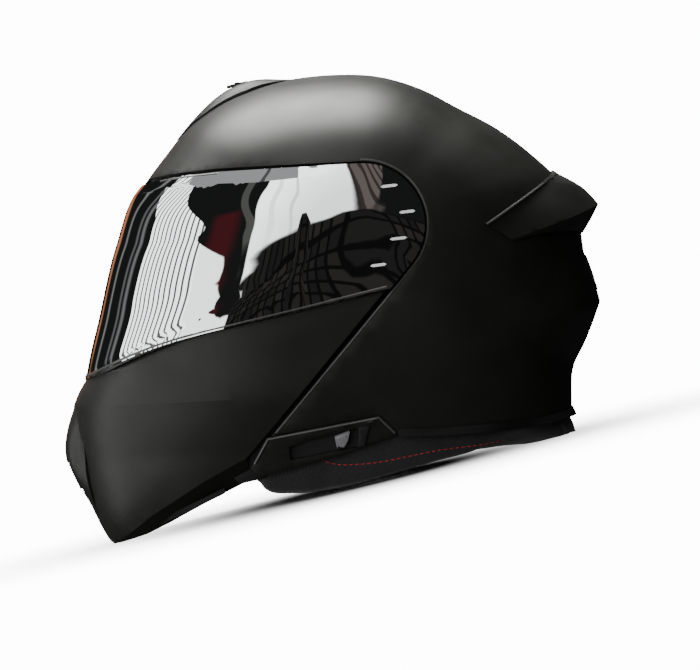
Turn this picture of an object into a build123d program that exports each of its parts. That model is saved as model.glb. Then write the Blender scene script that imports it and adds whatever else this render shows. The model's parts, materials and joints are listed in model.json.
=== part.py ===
"""Modular (flip-up) motorcycle helmet with a mirrored visor, a drop-down sun visor and a rear spoiler.

Frame: millimetres, +Z up, the face looks along -Y, the wearer's left is +X.
The helmet stands on its chin tip and on the back of its neck roll, on the plane Z = 0.
"""

import os
from math import atan2, cos, copysign, degrees, hypot, pi, radians, sin

from build123d import *

# ---------------------------------------------------------------- driving dimensions
HALF_WIDTH = 125.0  # outer shell, from the middle plane to its widest point
FULLNESS = 2.5  # 2 is an ellipsoid, more is boxier
CENTRE = (31.0, 158.0)  # (y, z) of the widest point, which the outline's radii are measured from
SHELL_WALL = 4.0
REACH = 220.0  # longer than anything it cuts

PIVOT = CENTRE  # (y, z) of the axis of the chin bar and the visor
END_RADIUS = 38.0  # round end of the visor, about the pivot
SEAM_ANGLE = 217.0  # direction of the seam behind the chin bar, degrees from +Y
SEAM_FOOT_Y = -71.0  # where the seam turns straight down
BROW_ANGLE = 169.1  # direction of the visor's top edge, degrees from +Y
RECESS_GAP = 1.0  # shell edge outside the round end
VISOR_GAP = 0.4  # visor edge inside the round end
CHIN_GAP = 1.9  # chin bar edge inside the seam
SEAT_X = 108.5  # flat seat of the hinge, and the shell's widest point under the visor
SEAT_INSET = 5.6
SEAT_WALL = 3.0

VISOR_HALF_WIDTH = 130.0
VISOR_FULLNESS = 2.6
VISOR_PROUD = 2.8
VISOR_WALL = 2.2

HEAD_INSET = 36.0  # inside of the impact liner, from the outside of the shell
PAD_WALL = 8.0
FIT = 0.5  # clearance between the fixed layers
EDGE_INSET = 5.3  # outside of the neck roll, clear of the rubber edge

HUB_RADIUS = 22.0
ARM_X = (111.0, 114.5)
RATCHET_X = (115.2, 118.2)
BOLT_RADIUS = 6.0

HOOK_PIVOT = (-112.0, 50.0)  # (y, z)
STRIKER = (-98.0, 40.0)
HOOK_X = (86.0, 89.0)

STRAP_WIDTH = 24.0
STRAP_WALL = 1.8
STRAP_Y = 6.0
STRAP_RIVET = (6.0, 62.0)  # (y, z)

SUN_PIVOT = (5.0, 150.0)  # (y, z)
SUN_RADIUS = 100.0
SUN_HALF_WIDTH = 100.5
SUN_FULLNESS = 2.6
SUN_WALL = 2.0
SUN_LOW, SUN_HIGH = 32.0, 70.0  # stowed lens, degrees above the forward horizon

# Side outline of the outer shell and chin bar, (y, z), carried on below the open base.
SILHOUETTE = [
    (61, 247), (88.9, 232.1), (110.5, 213.6), (131.7, 194.7), (147.5, 176.5), (160, 158), (166, 138),
    (168, 117), (168, 96), (164, 76), (155.5, 55.5), (141.8, 37), (134.5, 10), (124, -20),
    (95, -52), (36, -64), (-40, -60), (-110, -46), (-150, -22), (-166, 2), (-172, 26),
    (-173, 52), (-170, 74), (-163, 93), (-153, 108), (-134, 143), (-115, 180),
    (-100.6, 204.9), (-76, 228), (-56, 243), (-37, 251.5), (-12, 256.5), (16, 256), (40, 252.5),
]  # fmt: skip


# ---------------------------------------------------------------- the helmet's form
def polar(point, about=CENTRE):
    """(angle in radians from +Y, distance) of a (y, z) point."""
    dy, dz = point[0] - about[0], point[1] - about[1]
    return atan2(dz, dy) % (2 * pi), hypot(dy, dz)


OUTLINE = sorted(polar(p) for p in SILHOUETTE)


def outline_radius(angle):
    """Distance from CENTRE to the side outline, by a smooth curve through its points."""
    angle %= 2 * pi
    count = len(OUTLINE)
    first = sum(a <= angle for a, _ in OUTLINE) - 1
    knots = []
    for k in range(first - 1, first + 3):
        turns, index = divmod(k, count)
        knots.append((OUTLINE[index][0] + 2 * pi * turns, OUTLINE[index][1]))
    (a0, r0), (a1, r1), (a2, r2), (a3, r3) = knots
    step = a2 - a1
    t = (angle - a1) / step
    slope1 = (r2 - r0) / (a2 - a0) * step
    slope2 = (r3 - r1) / (a3 - a1) * step
    return (
        (2 * t**3 - 3 * t**2 + 1) * r1
        + (t**3 - 2 * t**2 + t) * slope1
        + (3 * t**2 - 2 * t**3) * r2
        + (t**3 - t**2) * slope2
    )


def bump(angle, peak, fall, rise, height):
    """A smooth hill on the outline: height at peak degrees, nothing fall below it and rise above it."""
    off = (degrees(angle) - peak + 180) % 360 - 180
    share = off / rise if off > 0 else -off / fall
    return height * (1 + cos(pi * min(share, 1.0))) / 2


def helmet_form(inset, half_width=HALF_WIDTH, fullness=FULLNESS, swell=None, levels=16):
    """The closed outer form of the helmet, moved inwards by inset; swell(angle) adds to its side outline."""

    def radius(angle):
        return outline_radius(angle) - inset + (swell(angle) if swell else 0)

    def share(y, z):
        angle, distance = polar((y, z))
        return distance / radius(angle)

    top_angle = max((radians(a / 4) for a in range(240, 520)), key=lambda a: radius(a) * sin(a))
    top = (CENTRE[0] + radius(top_angle) * cos(top_angle), CENTRE[1] + radius(top_angle) * sin(top_angle))

    def reach(y, z, sign):
        low, high = 0.0, 2 * HALF_WIDTH
        for _ in range(40):
            middle = (low + high) / 2
            low, high = (middle, high) if share(y + sign * middle, z) < 1 else (low, middle)
        return y + sign * low

    corners, base, cap = 32, -12.0, 0.35
    with BuildPart() as form:
        for level in range(levels):
            z = base + (top[1] - cap - base) * sin(pi / 2 * level / (levels - 1))
            lean = max(0.0, (z - CENTRE[1]) / (top[1] - CENTRE[1]))
            y_inside = CENTRE[0] + (top[0] - CENTRE[0]) * lean
            front, rear = reach(y_inside, z, -1), reach(y_inside, z, 1)
            points = []
            for k in range(corners):
                turn = 2 * pi * k / corners
                y = (front + rear) / 2 + (rear - front) / 2 * cos(turn)
                inside = max(0.0, 1 - share(y, z) ** fullness) if k % (corners // 2) else 0.0
                points.append(Vector(copysign((half_width - inset) * inside ** (1 / fullness), sin(turn)), y))
            with BuildSketch(Plane.XY.offset(z)):
                with BuildLine():
                    shares = [k / corners for k in range(corners + 1)]
                    add(Edge.make_spline(points, periodic=True, parameters=shares))
                make_face()
        loft()
    return form.part


def slab(half_width):
    """All space within half_width of the middle plane."""
    with BuildPart() as space:
        Box(2 * half_width, 4 * REACH, 4 * REACH)
    return space.part


def side_prism(*points, low=-REACH, high=REACH):
    """A side outline of straight lines, (y, z), carried across the helmet from x = low to x = high."""
    with BuildPart() as prism:
        with BuildSketch(Plane.YZ.offset(low)):
            with BuildLine():
                Polyline(*points, close=True)
            make_face()
        extrude(amount=high - low)
    return prism.part


def plan_prism(*points, low=-REACH, high=2 * REACH):
    """A plan outline of straight lines, (x, y), carried from z = low to z = high."""
    with BuildPart() as prism:
        with BuildSketch(Plane.XY.offset(low)):
            with BuildLine():
                Polyline(*points, close=True)
            make_face()
        extrude(amount=high - low)
    return prism.part


def disc(centre, radius, low, high):
    """A round bar along X about a (y, z) centre."""
    with BuildPart() as bar:
        with BuildSketch(Plane.YZ.offset(low)):
            with Locations(centre):
                Circle(radius)
        extrude(amount=high - low)
    return bar.part


def along(point, angle, distance):
    """The (y, z) point that lies distance from point in a direction given in degrees from +Y."""
    return (point[0] + distance * cos(radians(angle)), point[1] + distance * sin(radians(angle)))


def front_zone(gap):
    """Everything in front of the seam, the round end and the brow edge, moved outwards by gap."""
    radius = END_RADIUS + gap
    brow, seam = along(PIVOT, BROW_ANGLE - 90, radius), along(PIVOT, SEAM_ANGLE + 90, radius)
    bend = along(brow, BROW_ANGLE, 88)
    seam_foot = along(seam, SEAM_ANGLE, (seam[0] - SEAM_FOOT_Y - gap) / -cos(radians(SEAM_ANGLE)))
    with BuildPart() as zone:
        with BuildSketch(Plane.YZ.offset(-REACH)):
            with BuildLine():
                Line(brow, bend)
                Spline(bend, (-75, 215.4 + gap), (-92, 215.8 + gap), (-115, 214.4 + gap), (-260, 204 + gap))
                Polyline((-260, 204 + gap), (-260, -60), (SEAM_FOOT_Y + gap, -60), seam_foot, seam)
                ThreePointArc(seam, along(PIVOT, 13, radius), brow)
            make_face()
        extrude(amount=2 * REACH)
    return zone.part


def lower_edge_zone(gap):
    """Everything above the visor's lower edge, moved up by gap."""
    with BuildPart() as zone:
        with BuildSketch(Plane.YZ.offset(-REACH)):
            with BuildLine():
                Line((120, 116 + gap), (-78, 116 + gap))
                Spline(
                    (-78, 116 + gap), (-126, 112 + gap), (-175, 99 + gap), tangents=[(-1, 0.01), (-1, -0.32)]
                )
                Polyline((-175, 99 + gap), (-260, 72 + gap), (-260, 300), (120, 300), (120, 116 + gap))
            make_face()
        extrude(amount=2 * REACH)
    return zone.part


def keep(node, part):
    """Labels a finished piece and writes it."""
    part.label = node
    export_step(part, f"parts/{node}.step")


def keep_pair(node, left):
    """Writes a piece of the wearer's left side and its mirror image."""
    keep(f"{node}_left", left)
    keep(f"{node}_right", mirror(left, about=Plane.YZ))


def band(outer, inner, *zone):
    """The layer between two forms, kept only inside every solid of zone."""
    with BuildPart() as layer:
        add(outer)
        add(inner, mode=Mode.SUBTRACT)
        for limit in zone:
            add(limit, mode=Mode.INTERSECT)
    return layer.part


os.makedirs("parts", exist_ok=True)

outer_form = helmet_form(0)
wall_form = helmet_form(SHELL_WALL)
seat_form = helmet_form(SEAT_INSET) & slab(SEAT_X)
under_seat_form = helmet_form(SEAT_INSET + SEAT_WALL) & slab(SEAT_X - SEAT_WALL)
head_form = helmet_form(HEAD_INSET)
recess_zone = front_zone(RECESS_GAP)

# ---------------------------------------------------------------- outer shell
SEAM_FOOT, TRIM_REAR_TOP, TRIM_REAR_FOOT = (-57.5, 44.8), (13.0, 41.5), (22.0, 27.0)
BASE_EDGE = [TRIM_REAR_FOOT, (46.0, 21.5), (90.0, 14.5), (116.0, 12.0), (190.0, 12.0)]

# The face opening: brow edge, temple edge, then a flange that the chin bar closes against.
FACE_OPENING = [
    (-260, 210), (-91, 203.5), (-60, 203), (-32, 198), (-22, 190), (-19, 178), (-19, 128), (-24, 116),
    (-78, 62), (-92, 46), (-92, -60), (-260, -60),
]  # fmt: skip

with BuildPart() as outer_shell:
    add(outer_form)
    add(wall_form - front_zone(RECESS_GAP + SEAT_WALL), mode=Mode.SUBTRACT)
    add(under_seat_form, mode=Mode.SUBTRACT)
    add(recess_zone - seat_form, mode=Mode.SUBTRACT)
    add(side_prism(*FACE_OPENING), mode=Mode.SUBTRACT)
    add(
        side_prism((-150, 44.8), SEAM_FOOT, TRIM_REAR_TOP, *BASE_EDGE, (190, -60), (-150, -60)),
        mode=Mode.SUBTRACT,
    )
keep("outer_shell", outer_shell.part)

edge_strip = side_prism(
    *[(y, z + 3.5) for y, z in BASE_EDGE],
    *[(y, z - 1.5) for y, z in reversed(BASE_EDGE)],
)
with BuildPart() as shell_edge_trim:
    add(band(helmet_form(-0.9), helmet_form(SHELL_WALL + 0.9), edge_strip))
    add(outer_shell.part, mode=Mode.SUBTRACT)
keep("shell_edge_trim", shell_edge_trim.part)

# Rubber lip along the brow, under the visor's top edge.
with BuildPart() as brow_gasket:
    add(band(helmet_form(2.2), seat_form, side_prism((-120, 203.5), (-45, 203.5), (-45, 208.5), (-120, 214))))
keep("brow_gasket", brow_gasket.part)

# ---------------------------------------------------------------- sun visor
SUN_AXIS = Axis((0, *SUN_PIVOT), (1, 0, 0))


def sun_sector(outer, inner, start, sweep):
    """Turned layer about the sun visor's axis, from start degrees above the forward horizon downwards.

    outer and inner are (radius, half width) of its two superelliptic faces.
    """
    up = radians(start)
    plane = Plane(origin=(0, *SUN_PIVOT), x_dir=(1, 0, 0), z_dir=(0, -sin(up), -cos(up)))

    def curve(radius, half_width):
        turns = [pi * k / 16 for k in range(17)]
        power = 2 / SUN_FULLNESS
        return [
            (copysign(half_width * abs(cos(t)) ** power, cos(t)), radius * sin(t) ** power if 0 < k < 16 else 0)
            for k, t in enumerate(turns)
        ]

    outside, inside = curve(*outer), curve(*inner)
    with BuildPart() as sector:
        with BuildSketch(plane):
            with BuildLine():
                Spline(*outside, tangents=[(0, 1), (0, -1)])
                Line(outside[-1], inside[-1])
                Spline(*reversed(inside), tangents=[(0, 1), (0, -1)])
                Line(inside[0], outside[0])
            make_face()
        revolve(axis=SUN_AXIS, revolution_arc=sweep)
    return sector.part


with BuildPart() as sun_visor:
    add(
        sun_sector(
            (SUN_RADIUS, SUN_HALF_WIDTH),
            (SUN_RADIUS - SUN_WALL, SUN_HALF_WIDTH - SUN_WALL),
            SUN_HIGH,
            SUN_HIGH - SUN_LOW,
        )
    )
    for side in (-1, 1):
        edges = sorted((side * (SUN_HALF_WIDTH - SUN_WALL), side * SUN_HALF_WIDTH))
        add(disc(SUN_PIVOT, 9, *edges))
        add(disc(SUN_PIVOT, 3.9, *sorted((side * 90, side * 110))), mode=Mode.SUBTRACT)
keep("sun_visor", sun_visor.part)

sun_pocket = sun_sector((150, 150), (SUN_RADIUS - SUN_WALL - 2, SUN_HALF_WIDTH - SUN_WALL - 2), SUN_HIGH + 4, 84)
hub_pocket = disc(SUN_PIVOT, 12, 96, 150)
with BuildPart() as sun_visor_pivot:
    add(disc(SUN_PIVOT, 3.5, 97.0, SEAT_X - SEAT_WALL))
    add(disc(SUN_PIVOT, 6, 101.3, SEAT_X - SEAT_WALL))
keep_pair("sun_visor_pivot", sun_visor_pivot.part)

# ---------------------------------------------------------------- impact liner and pads
LINER_FOOT = [(-110, 67), (-62, 67), (-50, 50), (13, 46), (60, 38), (120, 32), (220, 32)]
with BuildPart() as eps_liner:
    add(helmet_form(SHELL_WALL + FIT))
    add(head_form, mode=Mode.SUBTRACT)
    add(front_zone(RECESS_GAP + SEAT_WALL + FIT) - (helmet_form(SEAT_INSET + SEAT_WALL + FIT) & slab(105)),
        mode=Mode.SUBTRACT)  # fmt: skip
    add(side_prism(*[(y - 1, z) for y, z in FACE_OPENING]), mode=Mode.SUBTRACT)
    add(side_prism(*LINER_FOOT, (220, -60), (-110, -60)), mode=Mode.SUBTRACT)
    add(sun_pocket, mode=Mode.SUBTRACT)
    add(hub_pocket, mode=Mode.SUBTRACT)
    add(mirror(hub_pocket, about=Plane.YZ), mode=Mode.SUBTRACT)
    for side in (-1, 1):
        add(disc(STRAP_RIVET, 3.3, *sorted((side * 70, side * 130))), mode=Mode.SUBTRACT)
keep("eps_liner", eps_liner.part)

pad_form = helmet_form(HEAD_INSET + FIT)
pad_inner_form = helmet_form(HEAD_INSET + FIT + PAD_WALL)
CROWN_PAD = [(-66, 186), (-40, 166), (90, 150), (150, 150), (150, 260), (-66, 260)]
with BuildPart() as crown_pad:
    add(band(pad_form, pad_inner_form, side_prism(*CROWN_PAD)))
keep("crown_pad", crown_pad.part)

CHEEK_PAD = [(-76, 64), (-30, 112), (20, 118), (52, 104), (62, 70), (58, 46), (13, 48), (-60, 56)]
with BuildPart() as cheek_pad:
    add(pad_form & slab(74.5))
    add(side_prism(*CHEEK_PAD, low=56), mode=Mode.INTERSECT)
    add(disc((28, 92), 22, 50, 68), mode=Mode.SUBTRACT)
keep_pair("cheek_pad", cheek_pad.part)

neck_form = helmet_form(EDGE_INSET)
NECK_ROLL = [
    (-69, 14), (-61, 8.3), (-42.5, 4.4), (-17, 2.1), (9, 3.5), (42, 4.6), (68, 4.2), (96, 0), (160, 0),
    (160, 29), (90, 29), (50, 33), (10, 38), (-56, 42), (-69, 32),
]  # fmt: skip
with BuildPart() as neck_roll:
    add(band(neck_form, helmet_form(24), side_prism(*NECK_ROLL)))
keep("neck_roll", neck_roll.part)

# ---------------------------------------------------------------- trims, spoiler and vents on the shell
TRIM = [(-71, 28.8), (-57.8, 44.2), (12.8, 41), (21.6, 27.2), (-18.5, 23.2), (-38, 22.8), (-69.5, 21.3)]
SLOT = [(-46.5, 27), (-45.5, 35.5), (-34.6, 36.8), (-1.5, 37.2), (-1.5, 25)]
with BuildPart() as side_trim:
    add(band(helmet_form(-0.6), wall_form, side_prism(*TRIM, low=0)))
keep("side_trim_right", mirror(side_trim.part, about=Plane.YZ))

SLOT_END = [(-0.9, 37), (5.6, 36.8), (-0.3, 24.5), (-4.5, 25.5)]
with BuildPart() as side_trim_left:
    add(side_trim.part)
    add(side_prism(*SLOT, low=0), mode=Mode.SUBTRACT)
    add(band(helmet_form(-2.6), wall_form, side_prism(*SLOT_END, low=0)))
keep("side_trim_left", side_trim_left.part)

THUMB = [(-17.6, 35.6), (-5.6, 36.4), (-8, 26.5), (-17.6, 27.6)]
with BuildPart() as sun_visor_slider:
    add(band(helmet_form(-3.4), helmet_form(1.6), side_prism(*THUMB, low=0)))
keep("sun_visor_slider", sun_visor_slider.part)

spoiler_form = helmet_form(-0.2, swell=lambda angle: bump(angle, -9.6, 7.0, 10.5, 14.8), levels=34)
SPOILER = [(104, 141), (120, 150), (166, 166), (190, 150), (190, 112), (160, 120), (137, 128), (115, 128)]
with BuildPart() as rear_spoiler:
    add(spoiler_form)
    add(outer_form, mode=Mode.SUBTRACT)
    add(side_prism(*SPOILER), mode=Mode.INTERSECT)
    add(slab(108), mode=Mode.INTERSECT)
keep("rear_spoiler", rear_spoiler.part)

vent_form = helmet_form(-0.2, swell=lambda angle: bump(angle, 115.0, 16.0, 26.0, 6.2), levels=24)
VENT_SIDE = [(15, -66), (27, -44), (31, -16), (24, 16), (12, 34)]
VENT_PLAN = VENT_SIDE + [(-x, y) for x, y in reversed(VENT_SIDE)]
with BuildPart() as top_vent_housing:
    add(vent_form)
    add(outer_form, mode=Mode.SUBTRACT)
    add(plan_prism(*VENT_PLAN, low=200), mode=Mode.INTERSECT)
    with BuildSketch(Plane.XY.offset(300)):
        with Locations((0, -16)):
            Rectangle(31, 24)
    extrude(amount=-39.6, mode=Mode.SUBTRACT)
keep("top_vent_housing", top_vent_housing.part)

with BuildPart() as top_vent_slider:
    with BuildSketch(Plane.XY.offset(260.9)):
        with Locations((0, -20.6)):
            RectangleRounded(29, 13, 3)
    extrude(amount=1.6)
    with BuildSketch(Plane.XY.offset(262.5)):
        with Locations((0, -20.6)):
            RectangleRounded(22, 2.4, 1)
    extrude(amount=0.7)
keep("top_vent_slider", top_vent_slider.part)

EXHAUST = [(120, 84), (200, 84), (200, 106), (120, 106)]
with BuildPart() as rear_exhaust:
    add(band(helmet_form(-1.6), outer_form, side_prism(*EXHAUST), slab(34)))
    for level in range(3):
        with BuildSketch(Plane.XZ.offset(-220)):
            with Locations((0, 89 + 6 * level)):
                SlotOverall(52 - 6 * level, 3)
        extrude(amount=80, mode=Mode.SUBTRACT)
keep("rear_exhaust", rear_exhaust.part)

# ---------------------------------------------------------------- hinges
with BuildPart() as pivot_base:
    add(disc(PIVOT, 20, SEAT_X, ARM_X[0] - 0.5))
    add(disc(PIVOT, BOLT_RADIUS, 100, 120), mode=Mode.SUBTRACT)
keep_pair("pivot_base", pivot_base.part)

with BuildPart() as pivot_bolt:
    add(disc(PIVOT, BOLT_RADIUS - 0.1, SEAT_X, RATCHET_X[1] + 0.5))
    add(disc(PIVOT, 8.5, RATCHET_X[1] + 0.5, RATCHET_X[1] + 2.5))
    with BuildSketch(Plane.YZ.offset(RATCHET_X[1] + 1.5)):
        with Locations(PIVOT):
            RegularPolygon(4, 6)
    extrude(amount=1, mode=Mode.SUBTRACT)
    chamfer(pivot_bolt.edges().filter_by(GeomType.CIRCLE).sort_by(Axis.X)[-1], 0.5)
keep_pair("pivot_bolt", pivot_bolt.part)

# ---------------------------------------------------------------- chin bar
chin_zone = front_zone(-CHIN_GAP) - lower_edge_zone(-0.6)
CHIN_FOOT = [(-40, 22.6), (-81, 15.8), (-130, 3.1), (-146, 0), (-200, 0)]
with BuildPart() as chin_bar:
    add(outer_form)
    add(wall_form, mode=Mode.SUBTRACT)
    add(chin_zone, mode=Mode.INTERSECT)
    add(side_prism(*CHIN_FOOT, (-200, -60), (-60, -60)), mode=Mode.SUBTRACT)
keep("chin_bar", chin_bar.part)

ARM = [(8, 168), (50, 152), (34, 128), (8, 110), (-34, 78), (-56, 78), (-56, 112), (-6, 113)]
arm_zone = front_zone(-CHIN_GAP)
with BuildPart() as chin_bar_arm:
    add(side_prism(*ARM, low=ARM_X[0], high=ARM_X[1]))
    add(disc(PIVOT, HUB_RADIUS, *ARM_X))
    for z in (84, 97, 110):
        add(side_prism((-50, z), (-50, z + 2.4), (4, z + 2.4), (4, z), low=ARM_X[0]))
    add(arm_zone & wall_form, mode=Mode.INTERSECT)
    add(disc(PIVOT, BOLT_RADIUS + 0.4, 100, 120), mode=Mode.SUBTRACT)
keep_pair("chin_bar_arm", chin_bar_arm.part)

chin_vent_form = helmet_form(-0.2, swell=lambda angle: bump(angle, 204.5, 9.5, 9.5, 9.6), levels=34)
CHIN_VENT_PLAN = [(-30, -240), (30, -240), (42, -150), (42, -100), (-42, -100), (-42, -150)]
shutter_block = side_prism((-190, 36), (-172, 37), (-176, 57), (-190, 60))
with BuildPart() as chin_vent_housing:
    add(chin_vent_form)
    add(outer_form, mode=Mode.SUBTRACT)
    add(plan_prism(*CHIN_VENT_PLAN, low=20, high=106), mode=Mode.INTERSECT)
    add(shutter_block & slab(19), mode=Mode.SUBTRACT)
keep("chin_vent_housing", chin_vent_housing.part)

with BuildPart() as chin_vent_shutter:
    with BuildSketch(Plane(origin=(0, -176.0, 44), x_dir=(1, 0, 0), z_dir=(0, -0.979, -0.206))):
        RectangleRounded(35, 11, 1.5)
        with Locations((0, 2.6), (0, -2.6)):
            SlotOverall(24, 1.8, mode=Mode.SUBTRACT)
    extrude(amount=1.8)
keep("chin_vent_shutter", chin_vent_shutter.part)

chin_inner_form = helmet_form(SHELL_WALL + FIT)
with BuildPart() as chin_eps:
    add(band(chin_inner_form, helmet_form(26), slab(76)))
    add(side_prism((-200, 18), (-118, 18), (-118, 84), (-122, 96), (-200, 96)), mode=Mode.INTERSECT)
keep("chin_eps", chin_eps.part)

SILL_FACE = [(-90, 16.6), (-130, 7.2), (-146, 4.2), (-200, 4.2)]
CHIN_SILL = SILL_FACE + [(y, z + 3.5) for y, z in reversed(SILL_FACE)]
with BuildPart() as chin_lower_trim:
    add(band(chin_inner_form, helmet_form(20), side_prism(*CHIN_SILL)))
    add(side_prism((-170, -20), (-148, -20), (-148, 40), (-170, 40)) & slab(16), mode=Mode.SUBTRACT)
keep("chin_lower_trim", chin_lower_trim.part)

with BuildPart() as release_button:
    with BuildSketch(Plane.XY.offset(2.6)):
        with Locations((0, -154.4)):
            RectangleRounded(30, 10, 3)
    extrude(amount=6)
    chamfer(release_button.faces().sort_by(Axis.Z)[0].edges(), 1)
keep("release_button", release_button.part)

with BuildPart() as breath_deflector:
    add(band(helmet_form(9), helmet_form(11.5), slab(44)))
    add(side_prism((-200, 97), (-118, 97), (-118, 103), (-132, 122), (-200, 122)), mode=Mode.INTERSECT)
keep("breath_deflector", breath_deflector.part)

with BuildPart() as chin_curtain:
    with BuildSketch(Plane(origin=(0, -132, 12), x_dir=(1, 0, 0), z_dir=(0, -0.1, 0.995))):
        with BuildLine():
            Polyline((-74, 30), (-74, -40), (74, -40), (74, 30))
            Spline((74, 30), (40, 10), (0, 3), (-40, 10), (-74, 30))
        make_face()
    extrude(amount=1.8)
    add(helmet_form(20.5), mode=Mode.INTERSECT)
keep("chin_curtain", chin_curtain.part)

# ---------------------------------------------------------------- chin bar latches
with BuildPart() as latch_striker:
    add(side_prism((-66, 62), (-66, 48), (-98, 35), (-102, 40), (-98, 45), (-78, 60), low=90.4, high=92.4))
    add(side_prism((-66, 61), (-66, 49), (-76, 49), (-76, 59), low=90.4) & under_seat_form)
    add(disc(STRIKER, 2.5, HOOK_X[0] - 0.6, 92.4))
keep_pair("latch_striker", latch_striker.part)

with BuildPart() as latch_hook:
    with BuildSketch(Plane.YZ.offset(HOOK_X[0])):
        with Locations(HOOK_PIVOT):
            Circle(6)
        with BuildLine():
            Polyline((-118, 50), (-113, 38), (-108, 33), (-95, 32.5), (-94, 38.5), (-97, 36.8), (-101, 36.8),
                     (-103.5, 40), (-104, 44), (-106, 50), close=True)  # fmt: skip
        make_face()
        with Locations(HOOK_PIVOT):
            Circle(2.2, mode=Mode.SUBTRACT)
    extrude(amount=HOOK_X[1] - HOOK_X[0])
keep_pair("latch_hook", latch_hook.part)

with BuildPart() as latch_pin:
    add(disc(HOOK_PIVOT, 2, HOOK_X[0] - 1, REACH))
    add(disc(HOOK_PIVOT, 5, HOOK_X[1] + 0.3, REACH))
    add(wall_form, mode=Mode.INTERSECT)
keep_pair("latch_pin", latch_pin.part)

# ---------------------------------------------------------------- visor
visor_zone = front_zone(-VISOR_GAP) & lower_edge_zone(0)
visor_outer = helmet_form(-VISOR_PROUD, VISOR_HALF_WIDTH - VISOR_PROUD, VISOR_FULLNESS)
visor_inner = helmet_form(VISOR_WALL - VISOR_PROUD, VISOR_HALF_WIDTH - VISOR_PROUD, VISOR_FULLNESS)
with BuildPart() as visor_lens:
    add(visor_outer)
    add(visor_inner, mode=Mode.SUBTRACT)
    add(visor_zone, mode=Mode.INTERSECT)
keep("visor_lens", visor_lens.part)

with BuildPart() as visor_ratchet:
    add(disc(PIVOT, 20, *RATCHET_X))
    with BuildSketch(Plane.YZ.offset(RATCHET_X[0])):
        with Locations(PIVOT):
            with PolarLocations(20, 9, 200, 160):
                Circle(2, mode=Mode.ADD)
    extrude(amount=RATCHET_X[1] - RATCHET_X[0])
    add(disc(PIVOT, 18, RATCHET_X[1], 140) - disc(PIVOT, 13, 100, 140) & visor_inner)
    add(disc(PIVOT, BOLT_RADIUS + 0.4, 100, RATCHET_X[1]), mode=Mode.SUBTRACT)
keep_pair("visor_ratchet", visor_ratchet.part)

# ---------------------------------------------------------------- retention strap
def webbing(points, width=STRAP_WIDTH, wall=STRAP_WALL):
    """A flat strap of even thickness that follows (x, z) points, STRAP_Y at its middle."""
    with BuildPart() as strap:
        with BuildSketch(Plane.XZ.offset(-STRAP_Y - width / 2)):
            with BuildLine() as centre:
                Spline(*points, tangents=[(0, -1), (copysign(1, -points[0][0]), 0)])
            trace(centre.line, wall)
        extrude(amount=width)
    return strap.part


rivet_hole = disc(STRAP_RIVET, 3.3, 70, 100)
with BuildPart() as strap_left:
    add(webbing([(79.6, 72), (78, 58), (74.2, 44), (66, 27), (54, 14.5), (42, 11)]))
    add(rivet_hole, mode=Mode.SUBTRACT)
keep("strap_left", strap_left.part)

with BuildPart() as strap_right:
    add(webbing([(-79.6, 72), (-78, 58), (-74.2, 44), (-66, 27), (-46, 13), (-26, 11.1), (-9.2, 11)]))
    add(mirror(rivet_hole, about=Plane.YZ), mode=Mode.SUBTRACT)
keep("strap_right", strap_right.part)

with BuildPart() as strap_rivet:
    add(disc(STRAP_RIVET, 3, 75.6, 112))
    add(disc(STRAP_RIVET, 6.5, 74.6, 76.2))
keep_pair("strap_rivet", strap_rivet.part)

BUCKLE_X = (10.0, 46.0)
BUCKLE_Z = (7.2, 15.0)
LEVER_AXIS = (15.0, 17.2)  # (x, z)
with BuildPart() as buckle_housing:
    with Locations(((BUCKLE_X[0] + BUCKLE_X[1]) / 2, STRAP_Y, (BUCKLE_Z[0] + BUCKLE_Z[1]) / 2)):
        Box(BUCKLE_X[1] - BUCKLE_X[0], 30, BUCKLE_Z[1] - BUCKLE_Z[0])
    chamfer(buckle_housing.edges().filter_by(Axis.Z), 2)
    with Locations((25, STRAP_Y, 11.2)):
        Box(31, 21, 3.4, mode=Mode.SUBTRACT)
    with Locations((43.5, STRAP_Y, 11.2)):
        Box(8, STRAP_WIDTH + 0.6, 3, mode=Mode.SUBTRACT)
    with Locations((26, STRAP_Y, 14)):
        Box(18, 16, 4, mode=Mode.SUBTRACT)
    with Locations((LEVER_AXIS[0], STRAP_Y - 11.6, 17), (LEVER_AXIS[0], STRAP_Y + 11.6, 17)):
        Box(5, 2.4, 5)
    with BuildSketch(Plane.XZ.offset(-STRAP_Y - 11)):
        with Locations(LEVER_AXIS):
            Circle(1)
    extrude(amount=22)
keep("buckle_housing", buckle_housing.part)

with BuildPart() as buckle_lever:
    with BuildSketch(Plane.XZ.offset(-STRAP_Y - 10)):
        with Locations(LEVER_AXIS):
            Circle(2)
        with BuildLine():
            Polyline((15, 15.6), (37, 15.6), (41, 17), (41, 18.6), (36.4, 17.4), (16, 17.6), close=True)
        make_face()
        with Locations(LEVER_AXIS):
            Circle(1.25, mode=Mode.SUBTRACT)
    extrude(amount=20)
keep("buckle_lever", buckle_lever.part)

with BuildPart() as ratchet_tongue:
    with Locations((14.5, STRAP_Y, 11)):
        Box(45, 20, 2)
    with Locations((-11, STRAP_Y, 11)):
        Box(6, 27, 4)
    with Locations((-12, STRAP_Y, 11)):
        Box(6, STRAP_WIDTH, STRAP_WALL + 0.2, mode=Mode.SUBTRACT)
    with Locations(*[(-4 + 3 * k, STRAP_Y, 12) for k in range(13)]):
        Box(1, 20, 0.8, mode=Mode.SUBTRACT)
keep("ratchet_tongue", ratchet_tongue.part)
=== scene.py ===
"""Matte black modular helmet: detailed shells, mirror visor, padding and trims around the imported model.

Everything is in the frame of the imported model: metres, +Z up, the face looks along -Y, wearer's left is +X.
The helmet's form is worked out in millimetres, in its side view (y, z), and scaled to metres at the end.
"""

import json
import math

import bmesh
import bpy
import numpy as np
from mathutils import Matrix, Vector, bvhtree, geometry


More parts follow.
